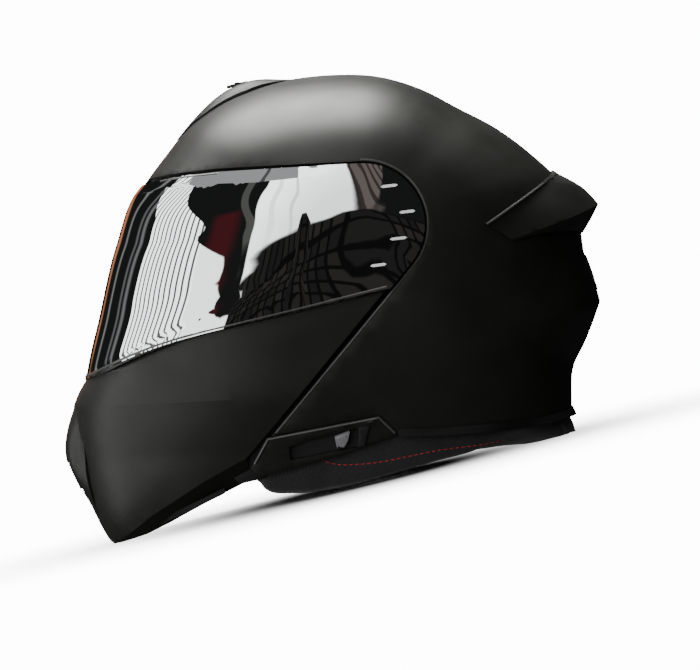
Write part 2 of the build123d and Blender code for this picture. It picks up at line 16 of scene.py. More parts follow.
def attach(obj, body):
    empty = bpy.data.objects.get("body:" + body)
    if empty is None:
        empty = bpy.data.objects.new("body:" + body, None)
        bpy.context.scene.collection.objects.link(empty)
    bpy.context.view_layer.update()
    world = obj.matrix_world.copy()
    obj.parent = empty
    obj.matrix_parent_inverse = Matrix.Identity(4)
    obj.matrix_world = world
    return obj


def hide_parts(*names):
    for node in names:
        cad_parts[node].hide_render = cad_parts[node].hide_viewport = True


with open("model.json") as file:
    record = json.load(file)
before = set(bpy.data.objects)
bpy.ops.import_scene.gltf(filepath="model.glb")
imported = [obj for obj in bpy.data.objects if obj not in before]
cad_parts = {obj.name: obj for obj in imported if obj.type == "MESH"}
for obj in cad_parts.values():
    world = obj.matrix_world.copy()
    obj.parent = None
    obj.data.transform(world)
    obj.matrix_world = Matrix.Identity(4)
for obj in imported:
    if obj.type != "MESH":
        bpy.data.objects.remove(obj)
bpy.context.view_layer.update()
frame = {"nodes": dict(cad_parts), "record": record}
MM = 0.001

# ---- the helmet's form, as in part.py
HALF_WIDTH = 125.0
FULLNESS = 2.5
CENTRE = (31.0, 158.0)
SHELL_WALL = 4.0
END_RADIUS = 38.0
SEAM_ANGLE, SEAM_FOOT_Y = 217.0, -71.0
BROW_ANGLE = 169.1
SEAT_X, SEAT_INSET, SEAT_WALL = 108.5, 5.6, 3.0
VISOR_HALF_WIDTH, VISOR_FULLNESS, VISOR_PROUD, VISOR_WALL = 130.0, 2.6, 2.8, 2.2
SILHOUETTE = [
    (61, 247), (88.9, 232.1), (110.5, 213.6), (131.7, 194.7), (147.5, 176.5), (160, 158), (166, 138),
    (168, 117), (168, 96), (164, 76), (155.5, 55.5), (141.8, 37), (134.5, 10), (124, -20),
    (95, -52), (36, -64), (-40, -60), (-110, -46), (-150, -22), (-166, 2), (-172, 26),
    (-173, 52), (-170, 74), (-163, 93), (-153, 108), (-134, 143), (-115, 180),
    (-100.6, 204.9), (-76, 228), (-56, 243), (-37, 251.5), (-12, 256.5), (16, 256), (40, 252.5),
]  # fmt: skip

_offsets = np.array(SILHOUETTE, float) - CENTRE
_order = np.argsort(np.arctan2(_offsets[:, 1], _offsets[:, 0]) % (2 * np.pi))
KNOT_ANGLES = (np.arctan2(_offsets[:, 1], _offsets[:, 0]) % (2 * np.pi))[_order]
KNOT_RADII = np.hypot(_offsets[:, 0], _offsets[:, 1])[_order]
_angles = np.concatenate([KNOT_ANGLES - 2 * np.pi, KNOT_ANGLES, KNOT_ANGLES + 2 * np.pi])
_radii = np.tile(KNOT_RADII, 3)
_slopes = np.gradient(_radii)
_slopes[1:-1] = (_radii[2:] - _radii[:-2]) / (_angles[2:] - _angles[:-2])


def outline_radius(angle):
    """Distance from CENTRE to the side outline, in a direction from +Y in radians."""
    angle = np.asarray(angle, float) % (2 * np.pi)
    first = np.searchsorted(_angles, angle, side="right") - 1
    step = _angles[first + 1] - _angles[first]
    t = (angle - _angles[first]) / step
    return (
        (2 * t**3 - 3 * t**2 + 1) * _radii[first]
        + (t**3 - 2 * t**2 + t) * _slopes[first] * step
        + (3 * t**2 - 2 * t**3) * _radii[first + 1]
        + (t**3 - t**2) * _slopes[first + 1] * step
    )


def bump(angle, peak, fall, rise, height):
    """A smooth hill on the outline: height at peak degrees, nothing fall below it and rise above it."""
    off = (np.degrees(angle) - peak + 180) % 360 - 180
    share = np.where(off > 0, off / rise, -off / fall)
    return height * (1 + np.cos(np.pi * np.minimum(share, 1.0))) / 2


class Form:
    """The helmet's outer form, moved outwards by lift millimetres.

    A point of its left half has flat coordinates (p, q). Their direction is that in the side view, and their
    length, from 0 to FLAT, is how far the surface has turned from the side towards the middle plane.
    """

    FLAT = 190.0

    def __init__(self, lift=0.0, half_width=HALF_WIDTH, fullness=FULLNESS, swell=None):
        self.lift, self.width, self.fullness, self.swell = lift, half_width + lift, fullness, swell

    def radius(self, angle):
        radius = outline_radius(angle) + self.lift
        return radius + self.swell(angle) if self.swell else radius

    def flat(self, points):
        """Side view points (y, z) to flat coordinates. Points outside the outline go to its edge."""
        offset = np.asarray(points, float) - CENTRE
        angle = np.arctan2(offset[:, 1], offset[:, 0])
        share = np.clip(np.hypot(offset[:, 0], offset[:, 1]) / self.radius(angle), 0, 1)
        turn = np.arcsin(share ** (self.fullness / 2)) / (np.pi / 2) * self.FLAT
        return np.stack([turn * np.cos(angle), turn * np.sin(angle)], 1)

    def flat_at(self, x, coordinate, value, low, high):
        """Flat coordinates of the point with that x whose y (coordinate 0) or z (coordinate 1) is value.

        It is looked for between the directions low and high, in degrees.
        """
        turn = math.acos(min(1.0, abs(x) / self.width) ** (self.fullness / 2))
        share = math.sin(turn) ** (2 / self.fullness)

        def miss(degrees):
            angle = math.radians(degrees)
            arm = share * float(self.radius(angle))
            return CENTRE[coordinate] + arm * (math.cos(angle), math.sin(angle))[coordinate] - value

        rising = miss(high) > miss(low)
        for _ in range(40):
            middle = (low + high) / 2
            if (miss(middle) > 0) == rising:
                high = middle
            else:
                low = middle
        flat = turn / (math.pi / 2) * self.FLAT
        return flat * math.cos(math.radians(low)), flat * math.sin(math.radians(low))

    def place(self, flat):
        """Flat coordinates to points (x, y, z) of the left half."""
        flat = np.asarray(flat, float)
        angle = np.arctan2(flat[:, 1], flat[:, 0])
        turn = np.clip(np.hypot(flat[:, 0], flat[:, 1]) / self.FLAT, 0, 1) * np.pi / 2
        share = np.sin(turn) ** (2 / self.fullness)
        x = self.width * np.clip(np.cos(turn), 0, 1) ** (2 / self.fullness)
        arm = share * self.radius(angle)
        return np.stack([x, CENTRE[0] + arm * np.cos(angle), CENTRE[1] + arm * np.sin(angle)], 1)

    def normals(self, flat, step=0.4):
        """Outward unit normals at flat coordinates."""
        flat = np.asarray(flat, float)
        turn = np.hypot(flat[:, 0], flat[:, 1])
        inward = flat * np.minimum(1, (self.FLAT - 2 * step) / np.maximum(turn, 1e-6))[:, None]
        across = self.place(inward + (step, 0)) - self.place(inward - (step, 0))
        along = self.place(inward + (0, step)) - self.place(inward - (0, step))
        normal = np.cross(across, along)
        normal /= np.linalg.norm(normal, axis=1)[:, None]
        normal[turn > self.FLAT - 1e-6, 0] = 0
        normal /= np.linalg.norm(normal, axis=1)[:, None]
        return normal * np.sign(np.sum(normal * (self.place(inward) - (0, *CENTRE)), 1))[:, None]


# ---- outlines in the side view, millimetres
def along(point, angle, distance):
    """The point at a distance from another, in a direction in degrees."""
    turned = math.radians(angle)
    return point[0] + distance * math.cos(turned), point[1] + distance * math.sin(turned)


def arc(centre, radius, start, end, step=4.0):
    count = max(2, int(abs(end - start) / 180 * math.pi * radius / step))
    return [along(centre, start + (end - start) * k / count, radius) for k in range(count + 1)]


def curve(points, count=8):
    """A smooth line through points, count steps to each span."""
    points = np.array(points, float)
    extended = np.vstack([2 * points[0] - points[1], points, 2 * points[-1] - points[-2]])
    line = []
    for k in range(len(points) - 1):
        a, b, c, d = extended[k : k + 4]
        for t in np.arange(count) / count:
            squared, cubed = (2 * a - 5 * b + 4 * c - d) * t**2, (3 * b - a - 3 * c + d) * t**3
            line.append(0.5 * (2 * b + (c - a) * t + squared + cubed))
    return [tuple(p) for p in line] + [tuple(points[-1])]


def dense(points, step=3.5, closed=True):
    """The same outline with no run longer than step."""
    points = list(points)
    result = []
    for a, b in zip(points, points[1:] + points[:1] if closed else points[1:]):
        count = max(1, int(math.dist(a, b) / step))
        result += [(a[0] + (b[0] - a[0]) * k / count, a[1] + (b[1] - a[1]) * k / count) for k in range(count)]
    return result if closed else result + [points[-1]]


def brow_line(gap):
    """The visor's top edge, from the round end forwards and beyond the middle plane."""
    start = along(CENTRE, BROW_ANGLE - 90, END_RADIUS + gap)
    front = [(-75, 215.4), (-92, 215.8), (-115, 214.4), (-180, 210)]
    return [start, *curve([along(start, BROW_ANGLE, 88), *[(y, z + gap) for y, z in front]])]


def seam_line(gap):
    """The seam behind the chin bar, from the round end down to the lower edge."""
    start = along(CENTRE, SEAM_ANGLE + 90, END_RADIUS + gap)
    length = (start[0] - SEAM_FOOT_Y - gap) / -math.cos(math.radians(SEAM_ANGLE))
    return [start, along(start, SEAM_ANGLE, length), (SEAM_FOOT_Y + gap, -10)]


def round_end(gap):
    return arc(CENTRE, END_RADIUS + gap, SEAM_ANGLE + 90 - 360, BROW_ANGLE - 90)


def lower_edge(gap):
    """The visor's lower edge, from the rear forwards."""
    bend = [(-79, 116), (-102, 115), (-126, 112), (-150, 106.5), (-175, 99)]
    return [(60, 116 + gap), (-78, 116 + gap), *curve([(y, z + gap) for y, z in bend])]


def cut_line(line, low_z):
    """The part of a falling line above low_z, ending on it."""
    kept = []
    for (y1, z1), (y2, z2) in zip(line, line[1:]):
        kept.append((y1, z1))
        if z2 < low_z:
            share = (z1 - low_z) / (z1 - z2)
            return kept + [(y1 + (y2 - y1) * share, low_z)]
    return kept + [line[-1]]


def ridge(gap, above, below):
    """1 on a crease and 0 beyond above millimetres over it or below millimetres under it."""
    return np.clip(1 - np.where(gap > 0, gap / above, -gap / below), 0, 1)


def fade(value, start, end):
    """0 before start, 1 after end, smooth between."""
    t = np.clip((value - start) / (end - start), 0, 1)
    return t * t * (3 - 2 * t)


# ---- building meshes
def new_object(name, vertices, faces, body):
    """A smooth mesh piece from points in millimetres, riding on a body."""
    mesh = bpy.data.meshes.new(name)
    vertices = [tuple(v) for v in np.asarray(vertices) * MM]
    mesh.from_pydata(vertices, [], [tuple(int(i) for i in f) for f in faces])
    mesh.validate()
    piece = bpy.data.objects.new(name, mesh)
    bpy.context.scene.collection.objects.link(piece)
    for polygon in mesh.polygons:
        polygon.use_smooth = True
    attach(piece, body)
    return piece


def edit_mesh(piece, change):
    """Runs change on the piece's mesh, as a bmesh."""
    work = bmesh.new()
    work.from_mesh(piece.data)
    change(work)
    work.to_mesh(piece.data)
    work.free()


def shade(piece, angle=38):
    """Smooth faces with a hard edge wherever the surface turns by more than angle degrees."""

    def mark(work):
        for edge in work.edges:
            edge.smooth = len(edge.link_faces) == 2 and edge.calc_face_angle(0) < math.radians(angle)

    for polygon in piece.data.polygons:
        polygon.use_smooth = True
    edit_mesh(piece, mark)


def apply_modifiers(piece):
    """Replaces a piece's mesh by what its modifiers make of it."""
    bpy.context.view_layer.update()
    made = bpy.data.meshes.new_from_object(piece.evaluated_get(bpy.context.evaluated_depsgraph_get()))
    piece.modifiers.clear()
    piece.data = made


def mirrored(points, faces):
    """Points and closed faces, with the same again on the other side of the middle plane."""
    points = np.asarray(points)
    other = [tuple(i + len(points) for i in f[::-1]) for f in faces]
    return np.vstack([points, points * (-1, 1, 1)]), [*faces, *other]


def closed_piece(name, body, points, faces, both):
    """A piece from closed faces, on both sides of the middle plane if both is true."""
    if both:
        points, faces = mirrored(points, faces)
    piece = new_object(name, points, faces, body)
    edit_mesh(piece, lambda work: bmesh.ops.recalc_face_normals(work, faces=work.faces))
    shade(piece)
    return piece


def ribbon(name, body, rows):
    """Closed strips on both sides. A row is a line of points along one, and the rows go round its section."""
    count, sides = len(rows[0]), len(rows)
    faces = []
    for row in range(sides):
        for k in range(count - 1):
            a, b = row * count + k, (row + 1) % sides * count + k
            faces.append((a, a + 1, b + 1, b))
    faces.append(tuple(row * count for row in range(sides)))
    faces.append(tuple(row * count + count - 1 for row in reversed(range(sides))))
    return closed_piece(name, body, np.vstack(rows), faces, both=True)


def inside(polygon, points):
    """Which points lie inside a closed outline."""
    points = np.asarray(points)
    hit = np.zeros(len(points), bool)
    for (x1, y1), (x2, y2) in zip(polygon, np.roll(polygon, -1, 0)):
        if y1 == y2:
            continue
        crosses = (y1 > points[:, 1]) != (y2 > points[:, 1])
        hit ^= crosses & (points[:, 0] < (x2 - x1) * (points[:, 1] - y1) / (y2 - y1) + x1)
    return hit


def near(line, points, distance):
    """Which points lie nearer to a line's vertices than distance."""
    line = np.asarray(line)
    hit = np.zeros(len(points), bool)
    for start in range(0, len(line), 64):
        gaps = np.linalg.norm(points[:, None] - line[None, start : start + 64], axis=2)
        hit |= gaps.min(1) < distance
    return hit


BAR_SLANT, BAR_SINK = 1.5, 0.3  # reach of a bar's pointed end, and its depth below the surface, millimetres
LIP_SECTION = [(-0.5, -0.4), (-0.32, 0.55), (0, 0.8), (0.32, 0.55), (0.5, -0.4)]  # shares of width and height
ROW_SHARE = 0.866  # height of an even triangle, as a share of its side
CLEAR_SHARE = 0.62  # grid points nearer than this to an edge are left out


def tile(outline, creases=(), spacing=3.5):
    """Even triangles that fill a flat outline, with an edge along every crease."""
    outline = np.asarray(outline, float)
    keep = np.linalg.norm(outline - np.roll(outline, 1, 0), axis=1) > 0.05
    outline = outline[keep]
    fixed, edges = list(outline), []
    for crease in creases:
        first = len(fixed)
        fixed += list(crease)
        edges += [(first + k, first + k + 1) for k in range(len(crease) - 1)]
    low, high = outline.min(0), outline.max(0)
    rows = np.arange(low[1], high[1], spacing * ROW_SHARE)
    columns = np.arange(low[0], high[0], spacing)
    grid = np.array([(x + (spacing / 2 if k % 2 else 0), y) for k, y in enumerate(rows) for x in columns])
    grid = grid[inside(outline, grid)]
    grid = grid[~near(fixed, grid, spacing * CLEAR_SHARE)]
    points = [Vector(p) for p in [*fixed, *grid]]
    result = geometry.delaunay_2d_cdt(points, edges, [list(range(len(outline)))], 1, 1e-4)
    return np.array([tuple(v) for v in result[0]]), [tuple(f) for f in result[2]]


def clean(work):
    """Joins doubled points and takes out slivers and loose points."""
    bmesh.ops.remove_doubles(work, verts=work.verts, dist=0.04 * MM)
    bmesh.ops.dissolve_degenerate(work, edges=work.edges, dist=0.02 * MM)
    loose = [v for v in work.verts if not v.link_faces]
    bmesh.ops.delete(work, geom=loose, context="VERTS")


def block(
    name, body, outline, top, bottom, creases=(), holes=(), spacing=3.5, both=True, bevel=0.7, creased=38
):  # fmt: skip
    """A closed piece between two surfaces over a flat outline, on both sides of the middle plane.

    top and bottom turn flat coordinates into points. creases are flat lines that keep an edge, and holes are
    flat outlines. bevel is in millimetres, and edges sharper than creased degrees stay hard.
    """
    loops = [np.vstack([h, h[:1]]) for h in map(np.asarray, holes)]
    flat, faces = tile(outline, [*creases, *loops], spacing)
    for hole in holes:
        centres = np.array([flat[list(f)].mean(0) for f in faces])
        faces = [f for f, gone in zip(faces, inside(np.asarray(hole), centres)) if not gone]
    outer, inner = top(flat), bottom(flat)
    for points in (outer, inner):
        points[np.hypot(*flat.T) > Form.FLAT - 1e-4, 0] = 0
    a, b, c = faces[0][:3]
    if np.dot(np.cross(outer[b] - outer[a], outer[c] - outer[a]), outer[a] - inner[a]) < 0:
        faces = [f[::-1] for f in faces]
    used = {}
    for f in faces:
        for edge in zip(f, f[1:] + f[:1]):
            used[edge] = used.get(edge, 0) + 1
    count = len(flat)
    rim = [(i, j) for i, j in used if (j, i) not in used and not (outer[i][0] == 0 and outer[j][0] == 0)]
    solid = [*faces, *[tuple(i + count for i in f[::-1]) for f in faces]]
    solid += [(j, i, i + count, j + count) for i, j in rim]
    points = np.vstack([outer, inner])
    if both:
        points, solid = mirrored(points, solid)
    piece = new_object(name, points, solid, body)
    edit_mesh(piece, clean)
    if bevel:
        rounded = piece.modifiers.new("edges", "BEVEL")
        rounded.width = bevel * MM
        rounded.segments = 2
        rounded.limit_method = "ANGLE"
        rounded.angle_limit = math.radians(55)
        apply_modifiers(piece)
    shade(piece, creased)
    return piece


def skin(name, body, form, outline, wall, creases=(), holes=(), relief=None, **options):
    """A shell piece over a side view outline, wall millimetres thick.

    relief(y, z, x) is how far it stands out of the form. The other options are block's.
    """

    def top(flat):
        points = form.place(flat)
        if relief:
            points = points + form.normals(flat) * relief(points[:, 1], points[:, 2], points[:, 0])[:, None]
        return points

    def bottom(flat):
        return top(flat) - form.normals(flat) * wall

    creases = [form.flat(dense(c, closed=False)) for c in creases]
    holes = [form.flat(dense(h)) for h in holes]
    return block(name, body, form.flat(dense(outline)), top, bottom, creases, holes, **options)


def bars(name, body, form, segments, width, height, both=True):
    """Low bars with slanted ends, lying on a form along side view segments."""
    points, faces = [], []
    for ends in np.array(segments, float):
        tangent = ends[1] - ends[0]
        tangent = tangent / np.linalg.norm(tangent)
        across = np.array([-tangent[1], tangent[0]]) * width / 2
        first, last = ends[0] + tangent * BAR_SLANT, ends[1] - tangent * BAR_SLANT
        ring = [ends[0], first - across, last - across, ends[1], last + across, first + across]
        flat = form.flat(ring)
        base, normal, start = form.place(flat), form.normals(flat), len(points)
        points += [*(base + normal * height), *(base - normal * BAR_SINK)]
        faces += [tuple(start + k for k in range(6)), tuple(start + 11 - k for k in range(6))]
        for k in range(6):
            after = (k + 1) % 6
            faces.append((start + after, start + k, start + 6 + k, start + 6 + after))
    return closed_piece(name, body, points, faces, both)


def lip(name, body, form, line, width, height, relief=None):
    """A half-round bead along a side view line, lying on a form."""
    line = np.array(dense(line, 3.0, closed=False))
    tangent = np.gradient(line, axis=0)
    tangent /= np.linalg.norm(tangent, axis=1)[:, None]
    side = np.stack([-tangent[:, 1], tangent[:, 0]], 1)
    rows = []
    for across, up in LIP_SECTION:
        flat = form.flat(line + side * across * width)
        points = form.place(flat)
        stand = up * height + (relief(points[:, 1], points[:, 2], points[:, 0]) if relief else 0)
        rows.append(points + form.normals(flat) * np.broadcast_to(stand, len(points))[:, None])
    return ribbon(name, body, rows)


def paint(piece, material, slot):
    piece.data.materials.clear()
    piece.data.materials.append(material)


# ---- materials
def new_material(name, roughness, metallic=0.0, specular=0.5, **sockets):
    """A principled material and its nodes. Extra sockets are given as name_with_underscores=value."""
    made = bpy.data.materials.new(name)
    made.use_nodes = True
    shader = made.node_tree.nodes["Principled BSDF"]
    shader.inputs["Roughness"].default_value = roughness
    shader.inputs["Metallic"].default_value = metallic
    shader.inputs["Specular IOR Level"].default_value = specular
    for socket, value in sockets.items():
        shader.inputs[socket.replace("_", " ").title().replace("Ior", "IOR")].default_value = value
    return made, made.node_tree, shader


def node(tree, kind, inputs=None, **settings):
    made = tree.nodes.new(kind)
    for key, value in settings.items():
        setattr(made, key, value)
    for key, value in (inputs or {}).items():
        if isinstance(value, bpy.types.NodeSocket):
            tree.links.new(value, made.inputs[key])
        else:
            made.inputs[key].default_value = value
    return made


def position(tree, scale=(1, 1, 1)):
    """Object coordinates in metres, stretched by scale."""
    place = node(tree, "ShaderNodeTexCoord").outputs["Object"]
    return node(tree, "ShaderNodeMapping", {"Vector": place, "Scale": scale}).outputs["Vector"]


def maths(tree, kind, first, second=0.0):
    return node(tree, "ShaderNodeMath", {0: first, 1: second}, operation=kind).outputs[0]


def noise(tree, vector, scale, detail=3.0):
    inputs = {"Vector": vector, "Scale": scale, "Detail": detail}
    return node(tree, "ShaderNodeTexNoise", inputs).outputs["Fac"]


def blend_colours(tree, shader, factor, dark, light, low=0.35, high=0.65):
    """The base colour runs from dark to light as factor goes from low to high."""
    ramp = node(tree, "ShaderNodeValToRGB", {"Fac": factor})
    ramp.color_ramp.elements[0].position, ramp.color_ramp.elements[1].position = low, high
    ramp.color_ramp.elements[0].color = (*dark, 1)
    ramp.color_ramp.elements[1].color = (*light, 1)
    tree.links.new(ramp.outputs["Color"], shader.inputs["Base Color"])


def vary(tree, shader, socket, factor, low, high):
    """The socket's value runs from low to high with factor."""
    limits = {"From Min": 0.3, "From Max": 0.7, "To Min": low, "To Max": high}
    span = node(tree, "ShaderNodeMapRange", {"Value": factor, **limits})
    tree.links.new(span.outputs["Result"], shader.inputs[socket])


def raise_surface(tree, shader, height, distance, strength=1.0):
    """Bump of that many millimetres where height goes from 0 to 1. Several calls add up."""
    inputs = {"Height": height, "Distance": distance * MM, "Strength": strength}
    if shader.inputs["Normal"].links:
        inputs["Normal"] = shader.inputs["Normal"].links[0].from_socket
    made = node(tree, "ShaderNodeBump", inputs)
    tree.links.new(made.outputs["Normal"], shader.inputs["Normal"])


def coated(name, dark, light, roughness, grain=0.012, grain_scale=1600, specular=0.5):
    """Painted or moulded plastic: a cloudy colour, uneven sheen, and a fine grain."""
    made, tree, shader = new_material(name, roughness[0], specular=specular)
    vector = position(tree)
    cloud = noise(tree, vector, 22)
    blend_colours(tree, shader, cloud, dark, light)
    vary(tree, shader, "Roughness", noise(tree, vector, 55, 5), *roughness)
    raise_surface(tree, shader, noise(tree, vector, grain_scale, 2), grain)
    raise_surface(tree, shader, noise(tree, vector, 9, 1), 0.05, 0.4)
    return made


def woven(name, dark, light, pitch, height, sheen=0.35, roughness=0.85, turn=0.0):
    """Cloth: crossing sets of threads pitch millimetres apart, turned by turn radians about each axis."""
    made, tree, shader = new_material(name, roughness, specular=0.25, sheen_weight=sheen, sheen_roughness=0.5)
    place = node(tree, "ShaderNodeTexCoord").outputs["Object"]
    turned = node(tree, "ShaderNodeMapping", {"Vector": place, "Rotation": (turn, turn, turn)})
    axes = node(tree, "ShaderNodeSeparateXYZ", {"Vector": turned.outputs["Vector"]}).outputs
    waves = []
    for first, second in (("X", "Y"), ("Z", "Y"), ("X", "Z")):
        diagonal = maths(tree, "ADD", axes[first], axes[second])
        waves.append(maths(tree, "SINE", maths(tree, "MULTIPLY", diagonal, 2 * math.pi / (pitch * MM))))
    total = maths(tree, "ADD", maths(tree, "MULTIPLY", waves[0], waves[1]), waves[2])
    level = node(tree, "ShaderNodeMapRange", {"Value": total, "From Min": -1.6, "From Max": 1.6})
    threads = level.outputs["Result"]
    uneven = maths(tree, "MULTIPLY", threads, noise(tree, place, 30, 4))
    blend_colours(tree, shader, uneven, dark, light, 0.05, 0.6)
    raise_surface(tree, shader, threads, height)
    return made


def brushed(name, colour, roughness=(0.24, 0.4), stretch=(6, 260, 260)):
    """Metal with fine streaks along X."""
    made, tree, shader = new_material(name, roughness[0], metallic=1.0)
    streaks = noise(tree, position(tree, stretch), 8, 4)
    blend_colours(tree, shader, streaks, [c * 0.82 for c in colour], colour)
    vary(tree, shader, "Roughness", streaks, *roughness)
    raise_surface(tree, shader, streaks, 0.02)
    return made


MATTE_BLACK = coated(
    "matte_black_lacquer", (0.0066, 0.0067, 0.0054), (0.0088, 0.0089, 0.0074), (0.39, 0.45), specular=0.36
)
MOULDED_BLACK = coated("moulded_black", [0.007] * 3, [0.012] * 3, (0.42, 0.56), 0.05, 900, 0.4)
RUBBER_BLACK = coated("rubber_black", [0.006] * 3, [0.010] * 3, (0.6, 0.75), 0.03, 700, 0.3)
# A lighter grey copy of the black coating for the edge lips: painted highlight where the edges catch the
# light.
PAINTED_HIGHLIGHT_EDGE = coated("painted_highlight_edge", (0.035, 0.036, 0.034), (0.05, 0.05, 0.048), (0.26, 0.34), 0.005, 1500)
PRINT_SILVER = coated("print_silver", (0.68, 0.69, 0.69), (0.86, 0.86, 0.86), (0.22, 0.34), 0.004, 1200)
THUMB_GREY = coated("thumb_grey", (0.13, 0.13, 0.135), (0.20, 0.20, 0.21), (0.24, 0.36), 0.02, 900)
RED_PLASTIC = coated("red_plastic", (0.40, 0.012, 0.01), (0.52, 0.02, 0.015), (0.28, 0.4), 0.01, 900)
PAD_CLOTH = woven("pad_cloth", (0.010, 0.010, 0.011), (0.045, 0.045, 0.048), 1.6, 0.16)
NECK_CLOTH = woven(
    "neck_cloth", (0.008, 0.008, 0.009), (0.026, 0.026, 0.028), 1.1, 0.08,
    sheen=0.15, roughness=0.65, turn=0.5,
)
WEBBING = woven("webbing", (0.010, 0.010, 0.010), (0.035, 0.035, 0.035), 1.3, 0.2, turn=0.8)
RED_THREAD = woven("red_thread", (0.22, 0.008, 0.012), (0.42, 0.02, 0.025), 0.5, 0.06, sheen=0.2)
STEEL = brushed("brushed_steel", (0.60, 0.60, 0.61))

FOAM, _tree, _shader = new_material("foam_beads", 0.8, specular=0.3)
_beads = node(_tree, "ShaderNodeTexVoronoi", {"Vector": position(_tree), "Scale": 420}).outputs["Distance"]
blend_colours(_tree, _shader, _beads, (0.020, 0.020, 0.021), (0.040, 0.040, 0.042), 0.1, 0.7)
raise_surface(_tree, _shader, _beads, 0.25)

MIRROR, _tree, _shader = new_material("mirror_coating", 0.01, metallic=1.0)
_cloud = noise(_tree, position(_tree), 6, 2)
blend_colours(_tree, _shader, _cloud, (0.80, 0.82, 0.84), (0.86, 0.88, 0.89))
vary(_tree, _shader, "Roughness", noise(_tree, position(_tree), 40, 4), 0.004, 0.012)
raise_surface(_tree, _shader, noise(_tree, position(_tree), 14, 0), 0.012, 0.5)

SMOKE, _tree, _shader = new_material("smoke_lens", 0.05, transmission_weight=0.55, ior=1.58)
blend_colours(_tree, _shader, noise(_tree, position(_tree), 8), (0.05, 0.045, 0.04), (0.065, 0.06, 0.052))
vary(_tree, _shader, "Roughness", noise(_tree, position(_tree), 60, 4), 0.03, 0.07)

SLOT_MATERIALS = {
    "shell_black": MATTE_BLACK, "trim_black": MOULDED_BLACK, "rubber_black": RUBBER_BLACK,
    "foam_black": FOAM, "pad_fabric": PAD_CLOTH, "neck_fabric": NECK_CLOTH, "visor_mirror": MIRROR,
    "sun_lens": SMOKE, "steel": STEEL, "webbing": WEBBING, "slider_grey": THUMB_GREY,
    "red_plastic": RED_PLASTIC,
}  # fmt: skip
for subpart in frame["record"]["subparts"]:
    carried = frame["nodes"][subpart["node"]]
    carried.data = carried.data.copy()
    carried.data.materials.clear()
    carried.data.materials.append(SLOT_MATERIALS[subpart["material_slot"]])
    carried.data.polygons.foreach_set("material_index", [0] * len(carried.data.polygons))

# ---- the outer shell
BASE = Form()
SEAM_TOP_Z = 115.4
SEAM_FOOT_Z = 44.8  # where the seam meets the side trim
WALL_THICKNESS = 1.5  # of the recess's side walls


def shell_relief(y, z, x):
    """A low spine over the crown, a fold behind the ear, and a waist with a bulge under it at the rear."""
    spine = 0.8 * (1 - fade(np.abs(x), 24, 31)) * fade(y, -30, 25)
    spine = spine * (1 - fade(y, 128, 158)) * fade(z, 120, 150)
    occiput = 5.0 * ridge(z - 77, 20, 24) ** 1.4 * fade(y, 95, 150)
    waist = -2.2 * ridge(z - 108, 14, 14) * fade(y, 80, 150)
    side_fold = 1.6 * ridge(z - (58 + (y - 40) * 0.05), 30, 7) * fade(y, 30, 90) * (1 - fade(y, 125, 150))
    return spine + occiput + waist + side_fold


SHELL_FOOT = [(13, 41.5), (22, 27), (46, 21.5), (90, 14.5), (116, 12), (200, 12)]
BEHIND = [(235, 80), (235, 200), (170, 300), (-60, 330), (-200, 260), (-180, 211)]
shell_outline = [
    *cut_line(seam_line(1), SEAM_FOOT_Z), *SHELL_FOOT, *BEHIND, *reversed(brow_line(1)),
    *reversed(round_end(1)),
]  # fmt: skip
shell = skin("shell_skin", "shell", BASE, shell_outline, SHELL_WALL, relief=shell_relief, bevel=0.9)
paint(shell, MATTE_BLACK, "shell_black")
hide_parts("outer_shell")

# The recess that the visor and the chin bar lie in: its walls and its floor.
FACE_OPENING = [
    (-91, 203.5), (-60, 203), (-32, 198), (-22, 190), (-19, 178), (-19, 128), (-24, 116), (-78, 62),
    (-92, 46), (-90, 36), (-80, 20), (-64, 20), (-60, 34),
]  # fmt: skip
SEAT = Form(-SEAT_INSET)


def seat_floor(flat):
    points = SEAT.place(flat)
    points[:, 0] = np.minimum(points[:, 0], SEAT_X)
    return points


def seat_back(flat):
    points = SEAT.place(flat) - SEAT.normals(flat) * SEAT_WALL
    points[:, 0] = np.minimum(points[:, 0], SEAT_X - SEAT_WALL)
    return points


seam_upwards = [*reversed(cut_line(seam_line(1), SEAM_FOOT_Z))]
recess_outline = SEAT.flat(
    dense([*round_end(1), *brow_line(1)[1:], (-180, 206), *FACE_OPENING, *seam_upwards[:-1]])
)
recess = block("shell_recess", "shell", recess_outline, seat_floor, seat_back, spacing=4, bevel=0.6)
paint(recess, MOULDED_BLACK, "shell_black")
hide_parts("outer_shell")

wall_line = dense([*seam_upwards, *round_end(1)[1:], *brow_line(1)[1:]], closed=False)
wall_flat = BASE.flat(wall_line)
wall_top = BASE.place(wall_flat) - 0.8 * BASE.normals(wall_flat)
wall_foot = seat_floor(SEAT.flat(wall_line))
wall_back = 1.2 * BASE.normals(wall_flat)
outwards = np.array([(0.0, *(np.array(p) - CENTRE)) for p in wall_line])
outwards /= np.linalg.norm(outwards, axis=1)[:, None]
outwards *= WALL_THICKNESS
recess_wall = ribbon(
    "shell_recess_wall", "shell", [wall_top, wall_foot, wall_foot + outwards, wall_top + outwards - wall_back]
)
paint(recess_wall, MATTE_BLACK, "shell_black")
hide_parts("outer_shell")

# ---- chin bar
CHIN_CREASE = np.array([(-175, 90), (-158.5, 87.1), (-114.8, 80.4), (-71.4, 72.4), (-20, 62.6)])
CHIN_BEVEL = np.array([(-185, -9), (-159.9, 1.9), (-137.6, 13.3), (-102, 26.7), (-74, 34.8), (-60, 36.4)])


def chin_relief(y, z, _x):
    """A soft crease along the chin bar, and a bevel that draws in below CHIN_BEVEL."""
    above = z - np.interp(y, *CHIN_CREASE.T)
    crease = (1.3 + 2.2 * (1 - fade(y, -150, -20))) * ridge(above, 24, 34)
    under = np.maximum(np.interp(y, *CHIN_BEVEL.T) - z, 0)
    return crease - 0.62 * under


